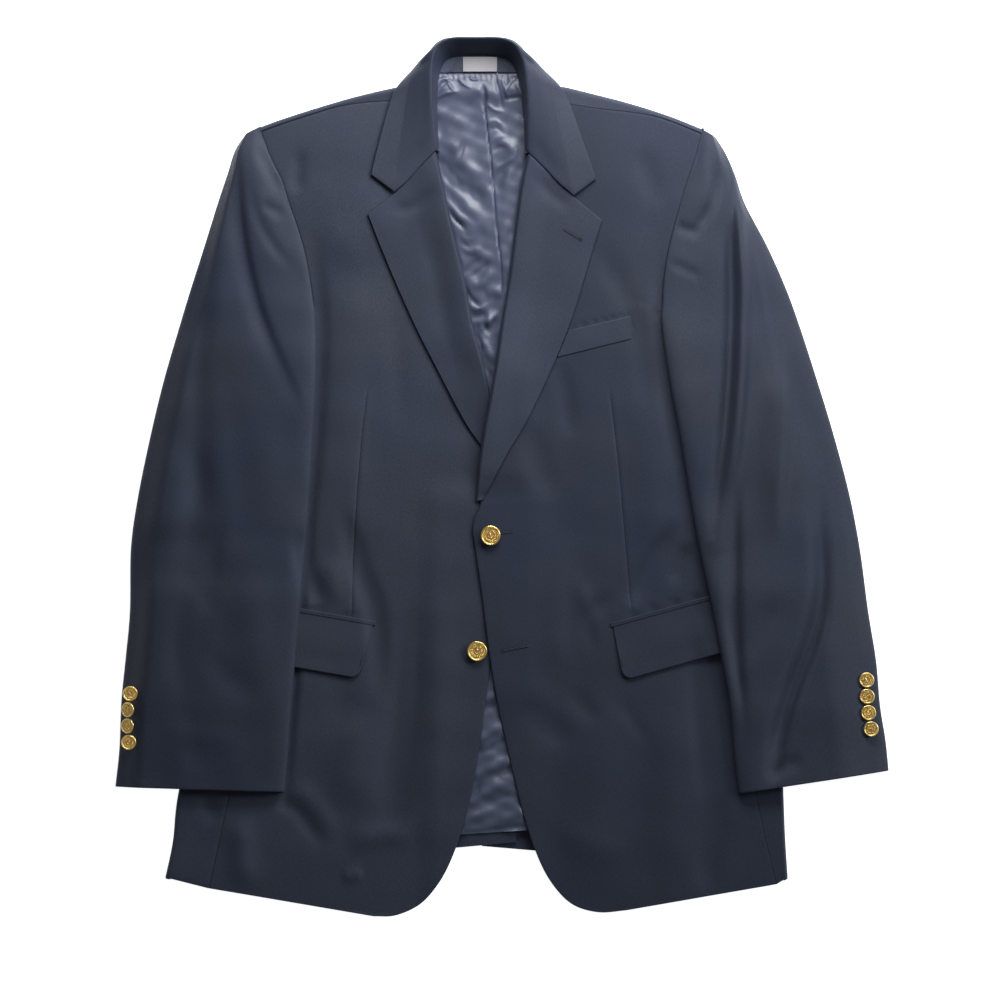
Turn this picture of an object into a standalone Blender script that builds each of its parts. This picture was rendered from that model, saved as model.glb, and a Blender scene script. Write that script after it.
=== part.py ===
"""A two-button blazer laid flat on its back, every piece of cloth a thin wall of its own.

Sizes are millimetres on a layout square one metre wide: across from its left edge, down from its
top edge, and height above the surface. Left and right are the wearer's, so the wearer's left is on
the layout's right. The finished part is in metres, centred on the garment, with +Z up.
"""

import math

import bmesh
import bpy
import numpy as np

MM = 0.001
LAYOUT_CENTRE = (502.0, 477.0)  # the point of the layout square that lies over the origin

# Thickness of each kind of cloth, and the spaces kept between pieces.
CLOTH = 1.6  # worsted with the canvas behind it
DOUBLED = 2.0  # lapels, collar, flaps: two layers turned out
SATIN = 1.0
LABEL = 0.6
SEAM = 0.4  # between two edges that a seam joins
REST = 0.7  # between a piece and the one that it lies on
SLEEVE_REST = 1.1  # between the under sleeve and the body
SLEEVE_EDGE = 0.6  # height of a top sleeve's rim above what the sleeve lies on

# Heights of the stack, from the surface up.
FRONT_TOP = 6.4  # upper face of a front in the middle of the chest
SHOULDER_RISE = 4.5  # how much higher the fronts lie at the shoulder seam
SHOULDER_FADE = (300.0, 120.0)
LINING_FOOT = CLOTH + 0.6
VENT_LIFT = 2.2  # the upper half of the back is lifted by this where the vent laps
VENT_RISE = 1.6  # and the fronts by this
LAP = CLOTH + REST + 0.3  # the left front rides this much higher where it laps the right front
TURNED = DOUBLED + REST  # a lapel, a flap or the collar's fall on top of a front
FLAP_RISE = TURNED + 0.9  # how much a sleeve that lies on a flap is lifted

# Zones where pieces lie over one another: outside and inside limits, then inside and outside again.
VENT_ACROSS = (415, 440, 526, 560)
VENT_DOWN = (475, 505)
VENT_FLAP_ACROSS = (440, 468)
VENT_FLAP_DOWN = (505, 545)
VENT_LINING_ACROSS = (424, 440, 524, 544)
VENT_LINING_DOWN = (480, 505)
LAPPED_ACROSS = (572, 522)  # the left front on the right front
LAPPED_DOWN = (330, 385, 682, 742)
CROSSED_ACROSS = (545, 515)  # and on the right lapel's lower end
CROSSED_DOWN = (345, 398, 470, 500)
FOLDS_BELOW = (120, 180)  # no folds at the shoulder seam
CAP_DOWN = (258, 304)  # the sleeve leaves the armhole and lies on the body

# Sides of the layout: the wearer's right is on its left.
RIGHT, LEFT = 0, 1

# Outlines that two pieces share: (across, down) for the wearer's right, then left.
ARMHOLE = (
    ((259.5, 127.0), (272, 160), (282, 180), (289, 202), (297, 225), (305, 252), (310.5, 281), (315, 310)),
    (
        (702.5, 129.5), (695, 158), (687, 182), (678.5, 210), (670.5, 240), (665, 268),
        (662.5, 290), (662, 310),
    ),
)
FRONT_SIDE_SEAM = (
    (
        (254, 354), (258, 400), (266, 480), (266, 545), (256, 640), (241, 730), (230, 790),
        (220, 838), (209, 888),
    ),
    (
        (748, 354), (744, 400), (736, 480), (735, 545), (739, 640), (747, 730), (755, 790),
        (765, 838), (776, 884),
    ),
)
SIDE_EDGE = (
    (
        (214, 345), (220, 390), (228, 450), (232, 520), (218, 620), (203, 690), (179, 790),
        (173, 841), (165.5, 877),
    ),
    (
        (788, 345), (782, 390), (776, 450), (772, 520), (776, 620), (779, 690), (783, 786),
        (785, 836), (787.6, 877),
    ),
)
BACK_SIDE_SEAM = (
    (
        (270, 354), (274, 390), (281, 450), (283, 520), (272, 620), (258, 700), (246, 790),
        (240, 830), (236, 868),
    ),
    (
        (732, 354), (728, 390), (722, 450), (719, 520), (722, 620), (727, 700), (732, 790),
        (736, 830), (740, 868),
    ),
)
SHOULDER = (
    (
        (259, 128), (284, 119), (315, 109), (345, 100), (372, 93), (399, 87), (425, 81), (436, 70),
        (450, 63), (472, 59.5), (497, 58.5),
    ),
    (
        (497, 58.5), (515, 61), (529, 69), (545, 82), (572, 89), (600, 96), (625, 102.5),
        (650, 110), (676, 119), (703, 130),
    ),
)
SEAM_BELOW_SHOULDER = (
    ((259, 5.0), (300, 5.0), (335, 5.2), (362, 8.0), (390, 12.5), (425, 16.0)),
    ((545, 18.0), (571, 16.5), (600, 13.5), (630, 9.0), (658, 5.2), (703, 5.0)),
)
NECK_POINT = (425.0, 545.0)  # across, where the shoulder seam meets the neck

# Sections of each front, hem to shoulder: down at its outer edge, across and down at its front edge.
FRONT_SECTIONS = (
    (
        (888, 374, 916), (882, 396, 915), (870, 420, 904), (852, 438, 884), (832, 451, 860),
        (805, 462, 829), (772, 471, 794), (730, 480, 743), (690, 486, 698), (640, 493, 650),
        (595, 502, 600), (545, 508, 550), (495, 506, 500), (445, 497, 450), (400, 487, 395),
        (358, 478.5, 357), (335, 468.5, 320), (310, 461.5, 280), (268, 449.5, 231), (228, 440.5, 187),
        (184, 432.5, 150), (158, 429, 118), (127, 425, 98),
    ),
    (
        (884, 626, 910), (878, 599, 912), (866, 574, 905), (850, 555.5, 888), (832, 540, 862),
        (805, 525, 820), (772, 514, 777), (730, 505, 737), (690, 496.5, 698), (645, 489, 650),
        (595, 482, 595), (550, 476, 553), (522, 473, 526), (500, 480.5, 504), (478, 482, 478), (440, 487.5, 438),
        (400, 494, 394), (358, 501.5, 350), (335, 507.5, 305), (310, 514.5, 262), (268, 523, 205),
        (222, 532, 152), (165, 535, 120), (129.5, 545, 101),
    ),
)
# Sections of each half of the back: down at its outer edge, across and down at its inner edge.
BACK_SECTIONS = (
    (
        (868, 516, 842), (790, 516, 780), (700, 516, 690), (620, 515, 602), (575, 497, 556),
        (500, 497, 495), (430, 497, 420), (354, 497, 345), (310, 497, 290), (240, 497, 210),
        (180, 497, 140), (128, 497, 58.5),
    ),
    (
        (868, 482, 846), (790, 482, 780), (700, 482, 690), (645, 483, 637), (580, 497.6, 575),
        (500, 497.6, 495), (430, 497.6, 420), (354, 497.6, 345), (310, 497.6, 290), (240, 497.6, 210),
        (180, 497.6, 140), (130, 497.6, 58.5),
    ),
)
BACK_COLUMNS = (0, 0.15, 0.3, 0.45, 0.6, 0.7, 0.78, 0.84, 0.89, 0.94, 1)
# Sections of each lapel, gorge to break: the roll line, then the outer edge, each across and down.
LAPEL_SECTIONS = (
    (
        (436, 153.5, 368, 214.8), (444, 187, 379, 243), (453, 231, 391, 272), (465, 280, 405, 304),
        (472, 320, 419, 334), (482, 357, 434, 363), (490.6, 395, 450, 394), (496, 425, 467, 425),
        (500, 455, 486, 452),
    ),
    (
        (527.5, 155.6, 602, 220.8), (521, 187, 594, 246), (515, 231, 586, 273), (509.5, 275, 577, 303),
        (502, 320, 566, 334), (496.5, 357, 555, 361), (490.6, 394, 541, 392), (484, 430, 525, 424),
        (480, 457, 508, 452), (477.5, 482, 493, 480), (476, 501, 483, 500),
    ),
)
GORGE_BEND = ((0.64, 2.5, 4.0), (0.61, 0.0, 3.2))  # where the notch bends a lapel's top, and how far
ROLL_RISE = 2.6  # how much a lapel stands up at its roll line
# Sections of each top sleeve, shoulder to cuff: inner edge, outer edge, height of its crown.
SLEEVE_SECTIONS = (
    (
        (259.5, 127.5, 245, 135, 1.0), (268, 147, 235, 151, 4.0), (278, 171, 228, 173, 6.0),
        (289, 202, 218, 203, 7.0), (304.5, 250, 204, 248, 7.5), (313, 292, 190, 292, 7.5),
        (316, 325, 180, 325, 7.5), (316.6, 380, 164, 380, 8.0), (313.5, 436, 150.5, 436, 8.0),
        (309.5, 500, 138, 497, 8.0), (305.5, 552, 131, 548, 8.0), (300, 610, 130, 610, 8.0),
        (295.5, 660, 126, 655, 7.5), (291.5, 705, 121.5, 700, 7.5), (288.3, 750, 119.5, 748, 7.0),
        (284.5, 791.5, 115.4, 786.5, 6.5),
    ),
    (
        (702.5, 130, 716, 138, 1.0), (698, 150, 726, 154, 4.0), (690, 172, 735, 175, 6.0),
        (680.5, 203, 745, 204, 7.0), (669, 246, 766.5, 245, 7.5), (662.5, 284, 784, 284, 7.5),
        (661, 320, 797, 319, 7.5), (669, 380, 817, 380, 8.0), (679.5, 436, 834, 436, 8.0),
        (690, 500, 849.5, 495, 8.0), (699.5, 552, 860, 550, 8.0), (712, 610, 868, 610, 8.0),
        (721.5, 660, 876, 660, 7.5), (729.5, 705, 880, 705, 7.5), (733.2, 750, 885.5, 740, 7.0),
        (738.5, 793, 888.6, 770.5, 6.5),
    ),
)
SLEEVE_COLUMNS = (0, 0.004, 0.02, 0.06, 0.13, 0.22, 0.35, 0.5, 0.65, 0.78, 0.87, 0.94, 0.98, 0.996, 1)
SLEEVE_ROUNDNESS = 3.0  # the power of the rounded section: 2 is an ellipse
CAP_FADE = (300.0, 255.0)  # above this the sleeve is set into the armhole, below it lies on the front
UNDER_INSET = 4.8  # how far inside the top sleeve's edges the under sleeve ends
UNDER_INSET_CAP = 1.6  # and inside the armhole's seam
SLEEVE_DROP = 36.0  # how far outside the body's edge the under sleeve comes down to the surface

# The collar from the gorge to the middle of the back, on the wearer's right: outer edge with its
# height, a point part way up the fall, the roll with its height, and the foot of the stand.
COLLAR_SECTIONS = (
    (371, 175, 13.0, 395, 192.6, 436, 151.4, 15.8, 439.5, 152, 5.6),
    (377, 150, 13.9, 399, 152, 434, 128, 19.5, 438, 128, 5.6),
    (385, 120, 14.2, 404, 116, 432, 104, 23.0, 437.5, 105, 5.6),
    (391, 100, 14.2, 407, 95, 431.5, 84, 25.5, 438.5, 86, 5.4),
    (398, 86.5, 14.2, 411, 79, 432, 66, 27.0, 440.5, 71, 5.0),
    (413, 69, 5.0, 417, 65, 435.5, 53, 28.5, 445, 62, 4.8),
    (428.5, 53, 0.3, 428, 53, 440, 46, 29.0, 451, 58, 4.8),
    (438.5, 42, 0.3, 438.5, 42, 448, 42, 29.0, 459, 56.4, 4.8),
    (453, 38.3, 0.3, 453, 38.3, 457, 40.5, 29.0, 465, 55.8, 4.8),
    (476.5, 38, 0.3, 476.5, 38, 476.5, 40.5, 29.0, 476.5, 55.6, 4.8),
)
COLLAR_LEAN = (476.5, 38.0, 0.05)  # the line that the left half mirrors about: across, down, lean
COLLAR_SAG = (0.042, 90.0, 150.0)  # how much lower the left half lies: a share of the distance from that line

LINING_SECTIONS = (
    (438, 73.8, 522, 73.8), (427, 90, 534, 90), (417, 150, 545, 150), (410, 250, 560, 250),
    (405, 350, 575, 350), (400, 450, 590, 450), (400, 560, 590, 560), (400, 660, 590, 660),
    (400, 760, 590, 760), (400, 838, 590, 826),
)
FACING_SECTIONS = (
    (440.5, 73.3, 519.5, 73.3), (442.5, 68, 516.5, 68), (447, 62, 511.5, 62), (454, 57.0, 503, 57.0),
)
LABEL_BOX = (463.0, 57.6, 497.0, 72.0)  # across, down, across, down

# A flap: across and down at the front end of its top, how its top and its foot slope, its sizes.
FLAPS = (
    {"front": (373.8, 623.5), "top_slope": 0.174, "foot_slope": 0.160, "depth": 55.0, "slant": -12.0, "away": -1},
    {"front": (611.6, 624.5), "top_slope": -0.277, "foot_slope": -0.266, "depth": 56.0, "slant": 9.0, "away": 1},
)
FLAP_LENGTH = 150.0
FLAP_CORNER = 13.0
FLAP_SHARES = (0.0, 0.08, 0.10, 0.4, 0.75, 1.0)  # rows of a flap, as shares of its depth
JETTING_RISE = 0.5  # of the strip along a flap's top, its first two rows
FLAP_FADE = 30.0  # how far round a flap a sleeve begins to rise over it
WELT_CORNERS = ((557.6, 357.4), (631.3, 339.2), (630.5, 316.3), (569.4, 330.4))

# Soft folds: across, down at one end, then at the other, half width, height (a trough is negative).
FRONT_FOLDS = (
    (
        (322, 290, 328, 420, 15, -1.2), (364, 568, 387, 644, 13, -1.1), (408, 540, 414, 760, 26, 1.3),
        (284, 805, 322, 841, 14, -1.1), (245, 885, 240, 820, 13, 1.3), (338, 705, 348, 895, 24, 1.4),
        (395, 210, 330, 250, 26, 0.9),
    ),
    (
        (550, 540, 556, 645, 22, -1.1), (693, 542, 640, 598, 12, -1.1), (722, 800, 712, 880, 12, -1.1),
        (600, 700, 592, 885, 26, 1.4), (650, 390, 655, 560, 22, 1.2), (672, 700, 668, 880, 20, 1.0),
    ),
)
SLEEVE_FOLDS = (
    (
        (240, 185, 254, 264, 12, -2.6), (254, 264, 287, 376, 13, -2.6), (255, 172, 284, 250, 9, -1.5),
        (206, 260, 200, 600, 22, -1.7), (176, 430, 160, 700, 17, 1.2), (266, 420, 252, 700, 20, 1.2),
        (225, 210, 214, 330, 12, 1.6), (170, 730, 240, 742, 12, 1.0),
    ),
    (
        (734, 200, 736, 380, 13, -2.8), (736, 380, 717, 495, 14, -2.0), (781, 397, 767, 478, 14, -1.8),
        (826, 562, 800, 647, 14, -1.8), (800, 647, 778, 730, 14, -1.8), (762, 215, 764, 300, 12, 1.6),
        (838, 500, 852, 650, 16, 1.3), (752, 560, 762, 700, 16, 1.2),
    ),
)
FOLD_END = 0.35  # the share of a fold's length over which it dies away at each end

# Buttons: across, down, tilt in degrees about the garment's length.
FRONT_BUTTONS = (("button_front_upper", 490.6, 535.4, LEFT), ("button_front_lower", 477.2, 650.9, RIGHT))
CUFF_BUTTONS = (
    ((131.2, 693.2, 0), (130.2, 709.2, -32), (129.8, 725.4, -32), (129.7, 741.8, 0)),
    ((865.8, 679.6, 0), (866.2, 696.0, 0), (867.6, 712.2, 0), (870.2, 728.4, 0)),
)
FRONT_BUTTON = 20.0
CUFF_BUTTON = 15.0
# A button's turned profile, from the foot of its shank: shares of its radius and of its diameter.
BUTTON_PROFILE = (
    (0.0, 0.0), (0.24, 0.0), (0.24, 0.10), (0.94, 0.13), (1.0, 0.18), (0.93, 0.23), (0.5, 0.27), (0.0, 0.29),
)
BUTTON_SIDES = 12
BUTTON_ABOVE = 0.35  # a shank's foot above the cloth
TILT_RISE = 0.7  # how much more for the rim of a foot that tilts, times the tilt's sine

NAVY = (0.030, 0.036, 0.052)
SATIN_GREY = (0.105, 0.120, 0.190)
LABEL_GREY = (0.52, 0.51, 0.54)
GOLD = (0.72, 0.50, 0.13)


def ramp(value, start, end):
    """0 at start and before it, 1 at end and past it, smooth between."""
    share = np.clip((value - start) / (end - start), 0.0, 1.0)
    return share * share * (3.0 - 2.0 * share)


def zone(value, limits):
    """1 inside the limits and 0 outside: (outside, inside), or those and (inside, outside) again."""
    share = ramp(value, *limits[:2])
    if len(limits) == 4:
        share = share * ramp(value, limits[3], limits[2])
    return share


def through(rows, count):
    """count rows evenly spread along a smooth curve through the given rows."""
    rows = np.array(rows, float)
    padded = np.vstack([2 * rows[0] - rows[1], rows, 2 * rows[-1] - rows[-2]])
    place = np.linspace(0.0, len(rows) - 1.0, count)
    index = np.minimum(place.astype(int), len(rows) - 2)
    t = (place - index)[:, None]
    a, b, c, d = (padded[index + step] for step in range(4))
    return b + 0.5 * t * (c - a + t * (2 * a - 5 * b + 4 * c - d + t * (3 * (b - c) + d - a)))


def across_at(outline, down):
    """Where a shared outline, which runs down the garment, crosses the given down."""
    curve = through(outline, 12 * len(outline))
    order = np.argsort(curve[:, 1])
    return np.interp(down, curve[order, 1], curve[order, 0])


def down_at(outline, across):
    """Where a shared outline, which runs across the garment, crosses the given across."""
    curve = through(outline, 12 * len(outline))
    order = np.argsort(curve[:, 0])
    return np.interp(across, curve[order, 0], curve[order, 1])


def outer_edge(side, side_seam, down):
    """The outer edge of a front or of the back: its side seam, then the armhole above it."""
    low, high = side_seam[side][0], ARMHOLE[side][-1]
    below = across_at(side_seam[side], down)
    above = across_at(ARMHOLE[side], down)
    between = np.interp(down, (high[1], low[1]), (high[0], low[0]))
    return np.where(down >= low[1], below, np.where(down <= high[1], above, between))


def folds(rows, across, down):
    """Height that a table of soft folds adds at each point."""
    total = np.zeros(np.broadcast(across, down).shape)
    for a1, d1, a2, d2, half_width, height in rows:
        length = math.hypot(a2 - a1, d2 - d1)
        along = ((across - a1) * (a2 - a1) + (down - d1) * (d2 - d1)) / length**2
        aside = ((across - a1) * (d2 - d1) - (down - d1) * (a2 - a1)) / length
        fade = ramp(along, -FOLD_END / 2, FOLD_END) * ramp(along, 1 + FOLD_END / 2, 1 - FOLD_END)
        total = total + height * fade * np.exp(-((aside / half_width) ** 2))
    return total


def front_top(side, across, down):
    """Height of a front's upper face."""
    height = FRONT_TOP + SHOULDER_RISE * ramp(down, *SHOULDER_FADE)
    height = height + VENT_RISE * zone(across, VENT_ACROSS) * zone(down, VENT_DOWN)
    if side == LEFT:
        height = height + LAP * zone(across, LAPPED_ACROSS) * zone(down, LAPPED_DOWN)
        height = height + TURNED * zone(across, CROSSED_ACROSS) * zone(down, CROSSED_DOWN)
    return height + folds(FRONT_FOLDS[side], across, down) * zone(down, FOLDS_BELOW)


def flap_share(side, across, down):
    """1 where a hip flap lies on the front, and fading to 0 round it."""
    flap = FLAPS[side]
    along = (across - flap["front"][0]) * flap["away"]
    beneath = down - flap["front"][1] - (across - flap["front"][0]) * flap["top_slope"]
    margin = FLAP_FADE / 2
    inside = zone(along, (-20, -2, FLAP_LENGTH + margin, FLAP_LENGTH + margin + FLAP_FADE))
    low = flap["depth"] + margin
    return inside * zone(beneath, (-margin - FLAP_FADE, -margin, low, low + FLAP_FADE))


def sleeve_rest(side, across, down):
    """Height of the under sleeve's lower face: on the body, then down to the surface outside it."""
    outward = (across_at(SIDE_EDGE[side], down) - across) * (1 if side == RIGHT else -1)
    on_body = front_top(side, across, down) + SLEEVE_REST + FLAP_RISE * flap_share(side, across, down)
    return on_body * ramp(outward, SLEEVE_DROP, 0.0) * zone(down, CAP_DOWN)


def cloth(name, across, down, height, wall, material, face_up=True):
    """A piece of cloth whose outer face is the given grid of points, its wall behind that face."""
    rows, columns = across.shape
    mesh = bmesh.new()
    bmesh.ops.create_grid(mesh, x_segments=columns - 1, y_segments=rows - 1, size=0.5)
    for vertex in mesh.verts:
        column = round((vertex.co.x + 0.5) * (columns - 1))
        row = round((vertex.co.y + 0.5) * (rows - 1))
        vertex.co.x = (across[row, column] - LAYOUT_CENTRE[0]) * MM
        vertex.co.y = (LAYOUT_CENTRE[1] - down[row, column]) * MM
        vertex.co.z = height[row, column] * MM
    mesh.normal_update()
    facing = sum(face.normal.z * face.calc_area() for face in mesh.faces)
    if (facing > 0) != face_up:
        bmesh.ops.reverse_faces(mesh, faces=mesh.faces[:])
    data = bpy.data.meshes.new(name)
    mesh.to_mesh(data)
    mesh.free()
    piece = add_piece(name, data, material)
    solid = piece.modifiers.new("wall", "SOLIDIFY")
    solid.thickness = wall * MM
    solid.offset = -1.0
    return piece


def add_piece(name, data, material):
    """An object of the garment's collection, shaded smooth, with its own copy of the material."""
    piece = bpy.data.objects.new(name, data)
    bpy.data.collections["blazer"].objects.link(piece)
    data.materials.append(plain_material(name, *material))
    data.shade_smooth()
    return piece


def plain_material(name, colour, roughness, metallic):
    material = bpy.data.materials.new(name)
    material.use_nodes = True
    shader = material.node_tree.nodes["Principled BSDF"]
    shader.inputs["Base Color"].default_value = (*colour, 1.0)
    shader.inputs["Roughness"].default_value = roughness
    shader.inputs["Metallic"].default_value = metallic
    return material


WORSTED = (NAVY, 0.85, 0.0)
LINING_SATIN = (SATIN_GREY, 0.35, 0.0)
WOVEN_LABEL = (LABEL_GREY, 0.7, 0.0)
BRASS = (GOLD, 0.28, 1.0)


def between(edges, columns):
    """A grid of points across straight lines from one edge to the other: (across, down) arrays."""
    if isinstance(columns, int):
        columns = np.linspace(0.0, 1.0, columns)
    share = np.array(columns)[None, :]
    first_a, first_d, last_a, last_d = (edges[:, k : k + 1] for k in range(4))
    return first_a + (last_a - first_a) * share, first_d + (last_d - first_d) * share


def keep_to_edge(side, side_seam, across, down, gap):
    """Slide each row so that it starts this gap inside the side seam and the armhole."""
    inward = gap if side == RIGHT else -gap
    start = outer_edge(side, side_seam, down[:, :1]) + inward
    share = (across - across[:, -1:]) / (across[:, :1] - across[:, -1:])
    return across + (start - across[:, :1]) * share


def make_front(side, name):
    """A front, from its side seam and armhole to its front edge and roll line."""
    rows = through(FRONT_SECTIONS[side], 38)
    outer = outer_edge(side, FRONT_SIDE_SEAM, rows[:, 0])
    across, down = between(np.column_stack([outer, rows]), 12)
    seam = down_at(SHOULDER[side], across) + down_at(SEAM_BELOW_SHOULDER[side], across) + 3 * SEAM
    climb = ramp(np.linspace(0, 1, len(rows)), 0.86, 1.0)[:, None]
    down = down + (seam - down[-1:, :]) * climb
    across = keep_to_edge(side, FRONT_SIDE_SEAM, across, down, SEAM)
    cloth(name, across, down, front_top(side, across, down), CLOTH, WORSTED)


def make_side(side, name):
    """A side panel: on top from the front's seam to the edge, round it, and back under the garment."""
    downs = np.linspace(0, 1, 11)[:, None]
    sign = 1 if side == RIGHT else -1
    points = []
    for outline in (FRONT_SIDE_SEAM[side], SIDE_EDGE[side], BACK_SIDE_SEAM[side]):
        down = outline[0][1] + (outline[-1][1] - outline[0][1]) * downs
        points.append((across_at(outline, down), down))
    (top_a, top_d), (edge_a, edge_d), (foot_a, foot_d) = points
    height = front_top(side, top_a, top_d)
    top_a = top_a - SEAM / 2 * sign
    foot_a = foot_a - SEAM / 2 * sign
    radius = height / 2
    turn = np.linspace(math.pi / 2, -math.pi / 2, 6)[None, :]
    bend_a = edge_a + sign * radius * (1 - np.cos(turn))
    bend_d = edge_d + 0 * turn
    bend_z = radius + radius * np.sin(turn)
    lead = np.array([0.0, 0.35, 0.7])[None, :]
    lead_a = top_a + (bend_a[:, :1] - top_a) * lead
    lead_d = top_d + (edge_d - top_d) * lead
    tail = np.array([0.4, 1.0])[None, :]
    tail_a = bend_a[:, -1:] + (foot_a - bend_a[:, -1:]) * tail
    tail_d = edge_d + (foot_d - edge_d) * tail
    across = np.hstack([lead_a, bend_a, tail_a])
    down = np.hstack([lead_d, bend_d, tail_d])
    rise = np.hstack([height + 0 * lead, bend_z, 0 * (tail + height)])
    piece = cloth(name, across, down, rise, CLOTH, WORSTED)
    turn_out(piece)


def turn_out(piece):
    """Point the faces of an open fold away from the space inside it."""
    mesh = bmesh.new()
    mesh.from_mesh(piece.data)
    centre = sum((vertex.co for vertex in mesh.verts), start=mesh.verts[:][0].co * 0) / len(mesh.verts)
    away = sum(face.normal.dot(face.calc_center_median() - centre) * face.calc_area() for face in mesh.faces)
    if away < 0:
        bmesh.ops.reverse_faces(mesh, faces=mesh.faces[:])
    mesh.to_mesh(piece.data)
    mesh.free()


def make_back(side, name):
    """Half of the back, on the surface, turned up over the shoulder as far as the shoulder seam."""
    rows = through(BACK_SECTIONS[side], 19)
    outer = outer_edge(side, BACK_SIDE_SEAM, rows[:, 0])
    across, down = between(np.column_stack([outer, rows]), BACK_COLUMNS)
    top = down_at(SHOULDER[side], across)
    climb = ramp(np.linspace(0, 1, len(rows)), 0.72, 1.0)[:, None]
    down = down + (top - down[-1:, :]) * climb
    across = keep_to_edge(side, BACK_SIDE_SEAM, across, down, 3 * SEAM)
    neck = NECK_POINT[side]
    neckward = (across[-1:, :] - neck) * (1 if side == RIGHT else -1)
    turned = ramp(neckward, 2.0, -18.0)  # 1 along the shoulder, 0 in the neck
    seam = down_at(SEAM_BELOW_SHOULDER[side], across[-1:, :])
    height = front_top(side, across[-1:, :], top[-1:, :] + seam)
    fold_depth = 4.0
    flat = np.maximum(seam - fold_depth, 0.2)
    bent = math.pi / 2 * (fold_depth + height / 2)
    steps = np.linspace(0, 1, 7)[:, None]
    gone = steps * (bent + flat) / bent
    angle = -math.pi / 2 + math.pi * np.minimum(gone, 1.0)
    past = np.maximum(gone - 1.0, 0.0) * bent
    wrap_d = top[-1:, :] + fold_depth - fold_depth * np.cos(angle) + past
    wrap_z = height / 2 * (1 + np.sin(angle))
    plain_d = top[-1:, :] + 8.0 * (1 - steps)
    turned_d = plain_d + (wrap_d - plain_d) * turned
    turned_z = wrap_z * turned
    start = top[-1:, :] + 8.0 + (fold_depth - 8.0) * turned
    down = down + (start - down[-1:, :]) * climb
    lift = lift_at_vent(side, across, down)
    across = np.vstack([across, np.repeat(across[-1:, :], len(steps) - 1, axis=0)])
    down = np.vstack([down, turned_d[1:]])
    cloth(name, across, down, np.vstack([lift, turned_z[1:]]), CLOTH, WORSTED, face_up=False)


def lift_at_vent(side, across, down):
    """The right half of the back lies over the left half's lap at the vent."""
    if side == LEFT:
        return 0 * across
    return VENT_LIFT * zone(across, VENT_FLAP_ACROSS) * zone(down, VENT_FLAP_DOWN)


def lining_foot(across, down):
    return LINING_FOOT + VENT_LIFT * zone(across, VENT_LINING_ACROSS) * zone(down, VENT_LINING_DOWN)


def make_lining():
    across, down = between(through(LINING_SECTIONS, 20), 8)
    cloth("lining", across, down, lining_foot(across, down) + SATIN, SATIN, LINING_SATIN)


def make_neck():
    """The facing band inside the back neck, and the label on it."""
    across, down = between(through(FACING_SECTIONS, 4), 7)
    top = LINING_FOOT + CLOTH
    cloth("neck_facing", across, down, top + 0 * across, CLOTH, WORSTED)
    left, high, right, low = LABEL_BOX
    across, down = between(through(((left, low, right, low), (left, high, right, high)), 2), 4)
    cloth("neck_label", across, down, top + SEAM + LABEL + 0 * across, LABEL, WOVEN_LABEL)


def make_lapel(side, name):
    """A lapel: turned back at the roll line, lying on the front as far as its outer edge."""
    edges = through(LAPEL_SECTIONS[side], 21)
    inside = 1 if side == LEFT else -1  # towards the outer edge, across
    share = np.array([0.0, 0.0, 0.02, 0.07, 0.18, 0.4, 0.64, 0.85, 1.0])
    across, down = between(edges, share)
    where, bend_across, bend_down = GORGE_BEND[side]
    tent = np.minimum(share / where, (1 - share) / (1 - where))[None, :]
    near_gorge = ramp(np.arange(len(edges)), 3, 0)[:, None]
    across = across + inside * -bend_across * tent * near_gorge
    down = down + bend_down * tent * near_gorge
    width = np.abs(edges[:, 2:3] - edges[:, 0:1])
    from_roll = np.abs(across - edges[:, 0:1])
    roll = ROLL_RISE * ramp(width, 12, 40) * ramp(from_roll, 30, 5)
    if side == RIGHT:
        roll = roll * ramp(down, 396, 350)
    height = front_top(side, across, down) + TURNED + roll
    foot = lining_foot(across[:, :1], down[:, :1]) + SATIN + REST
    if side == LEFT:
        crossed = ramp(down[:, :1], 366, 384)
        foot = foot + (front_top(side, across[:, :1], down[:, :1]) - CLOTH - foot) * crossed
    height[:, 0] = foot[:, 0]
    height[:, 1] = (foot[:, 0] + 2 * height[:, 2]) / 3
    height[:, 2] = height[:, 2] - 0.5
    across[:, 2:-1] = across[:, 2:-1] + inside * 0.5
    cloth(name, across, down, height, DOUBLED, WORSTED)


def make_collar():
    """Fall and stand: from one gorge, up and round the back neck, to the other gorge."""
    half = through(COLLAR_SECTIONS, 16)
    axis_across, axis_down, lean = COLLAR_LEAN
    sag, sag_from, sag_to = COLLAR_SAG

    def mirrored(row):
        out = row.copy()
        for a, d in ((0, 1), (3, 4), (5, 6), (8, 9)):
            out[a] = 2 * (axis_across + lean * (row[d] - axis_down)) - row[a]
            out[d] = row[d] + sag * abs(row[a] - axis_across) * ramp(row[d], sag_from, sag_to)
        return out

    stations = list(half) + [mirrored(row) for row in half[-2::-1]]
    across, down, height = [], [], []
    for oa, od, oz, ma, md, ra, rd, rz, fa, fd, fz in stations:
        upright = ramp(oz, 12.0, 0.3)  # 1 where the fall hangs to the surface behind the neck
        low = oz + (rz - oz) * (0.22 + 0.18 * upright)
        high = oz + (rz - oz) * (0.80 + 0.05 * upright)
        ba, bd = ma + (ra - ma) * 0.62 * (1 - 0.6 * upright), md + (rd - md) * 0.62 * (1 - 0.6 * upright)
        na, nd, nz = ra + (fa - ra) * 0.45, rd + (fd - rd) * 0.45, fz + (rz - fz) * 0.62
        stand = ((ra, rd, rz), (na, nd, nz), (fa, fd, fz))
        line = through(((oa, od, oz), (ma, md, low), (ba, bd, high), *stand), 11)
        across.append(line[:, 0])
        down.append(line[:, 1])
        height.append(line[:, 2])
    cloth("collar", np.array(across), np.array(down), np.array(height), DOUBLED, WORSTED)


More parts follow.
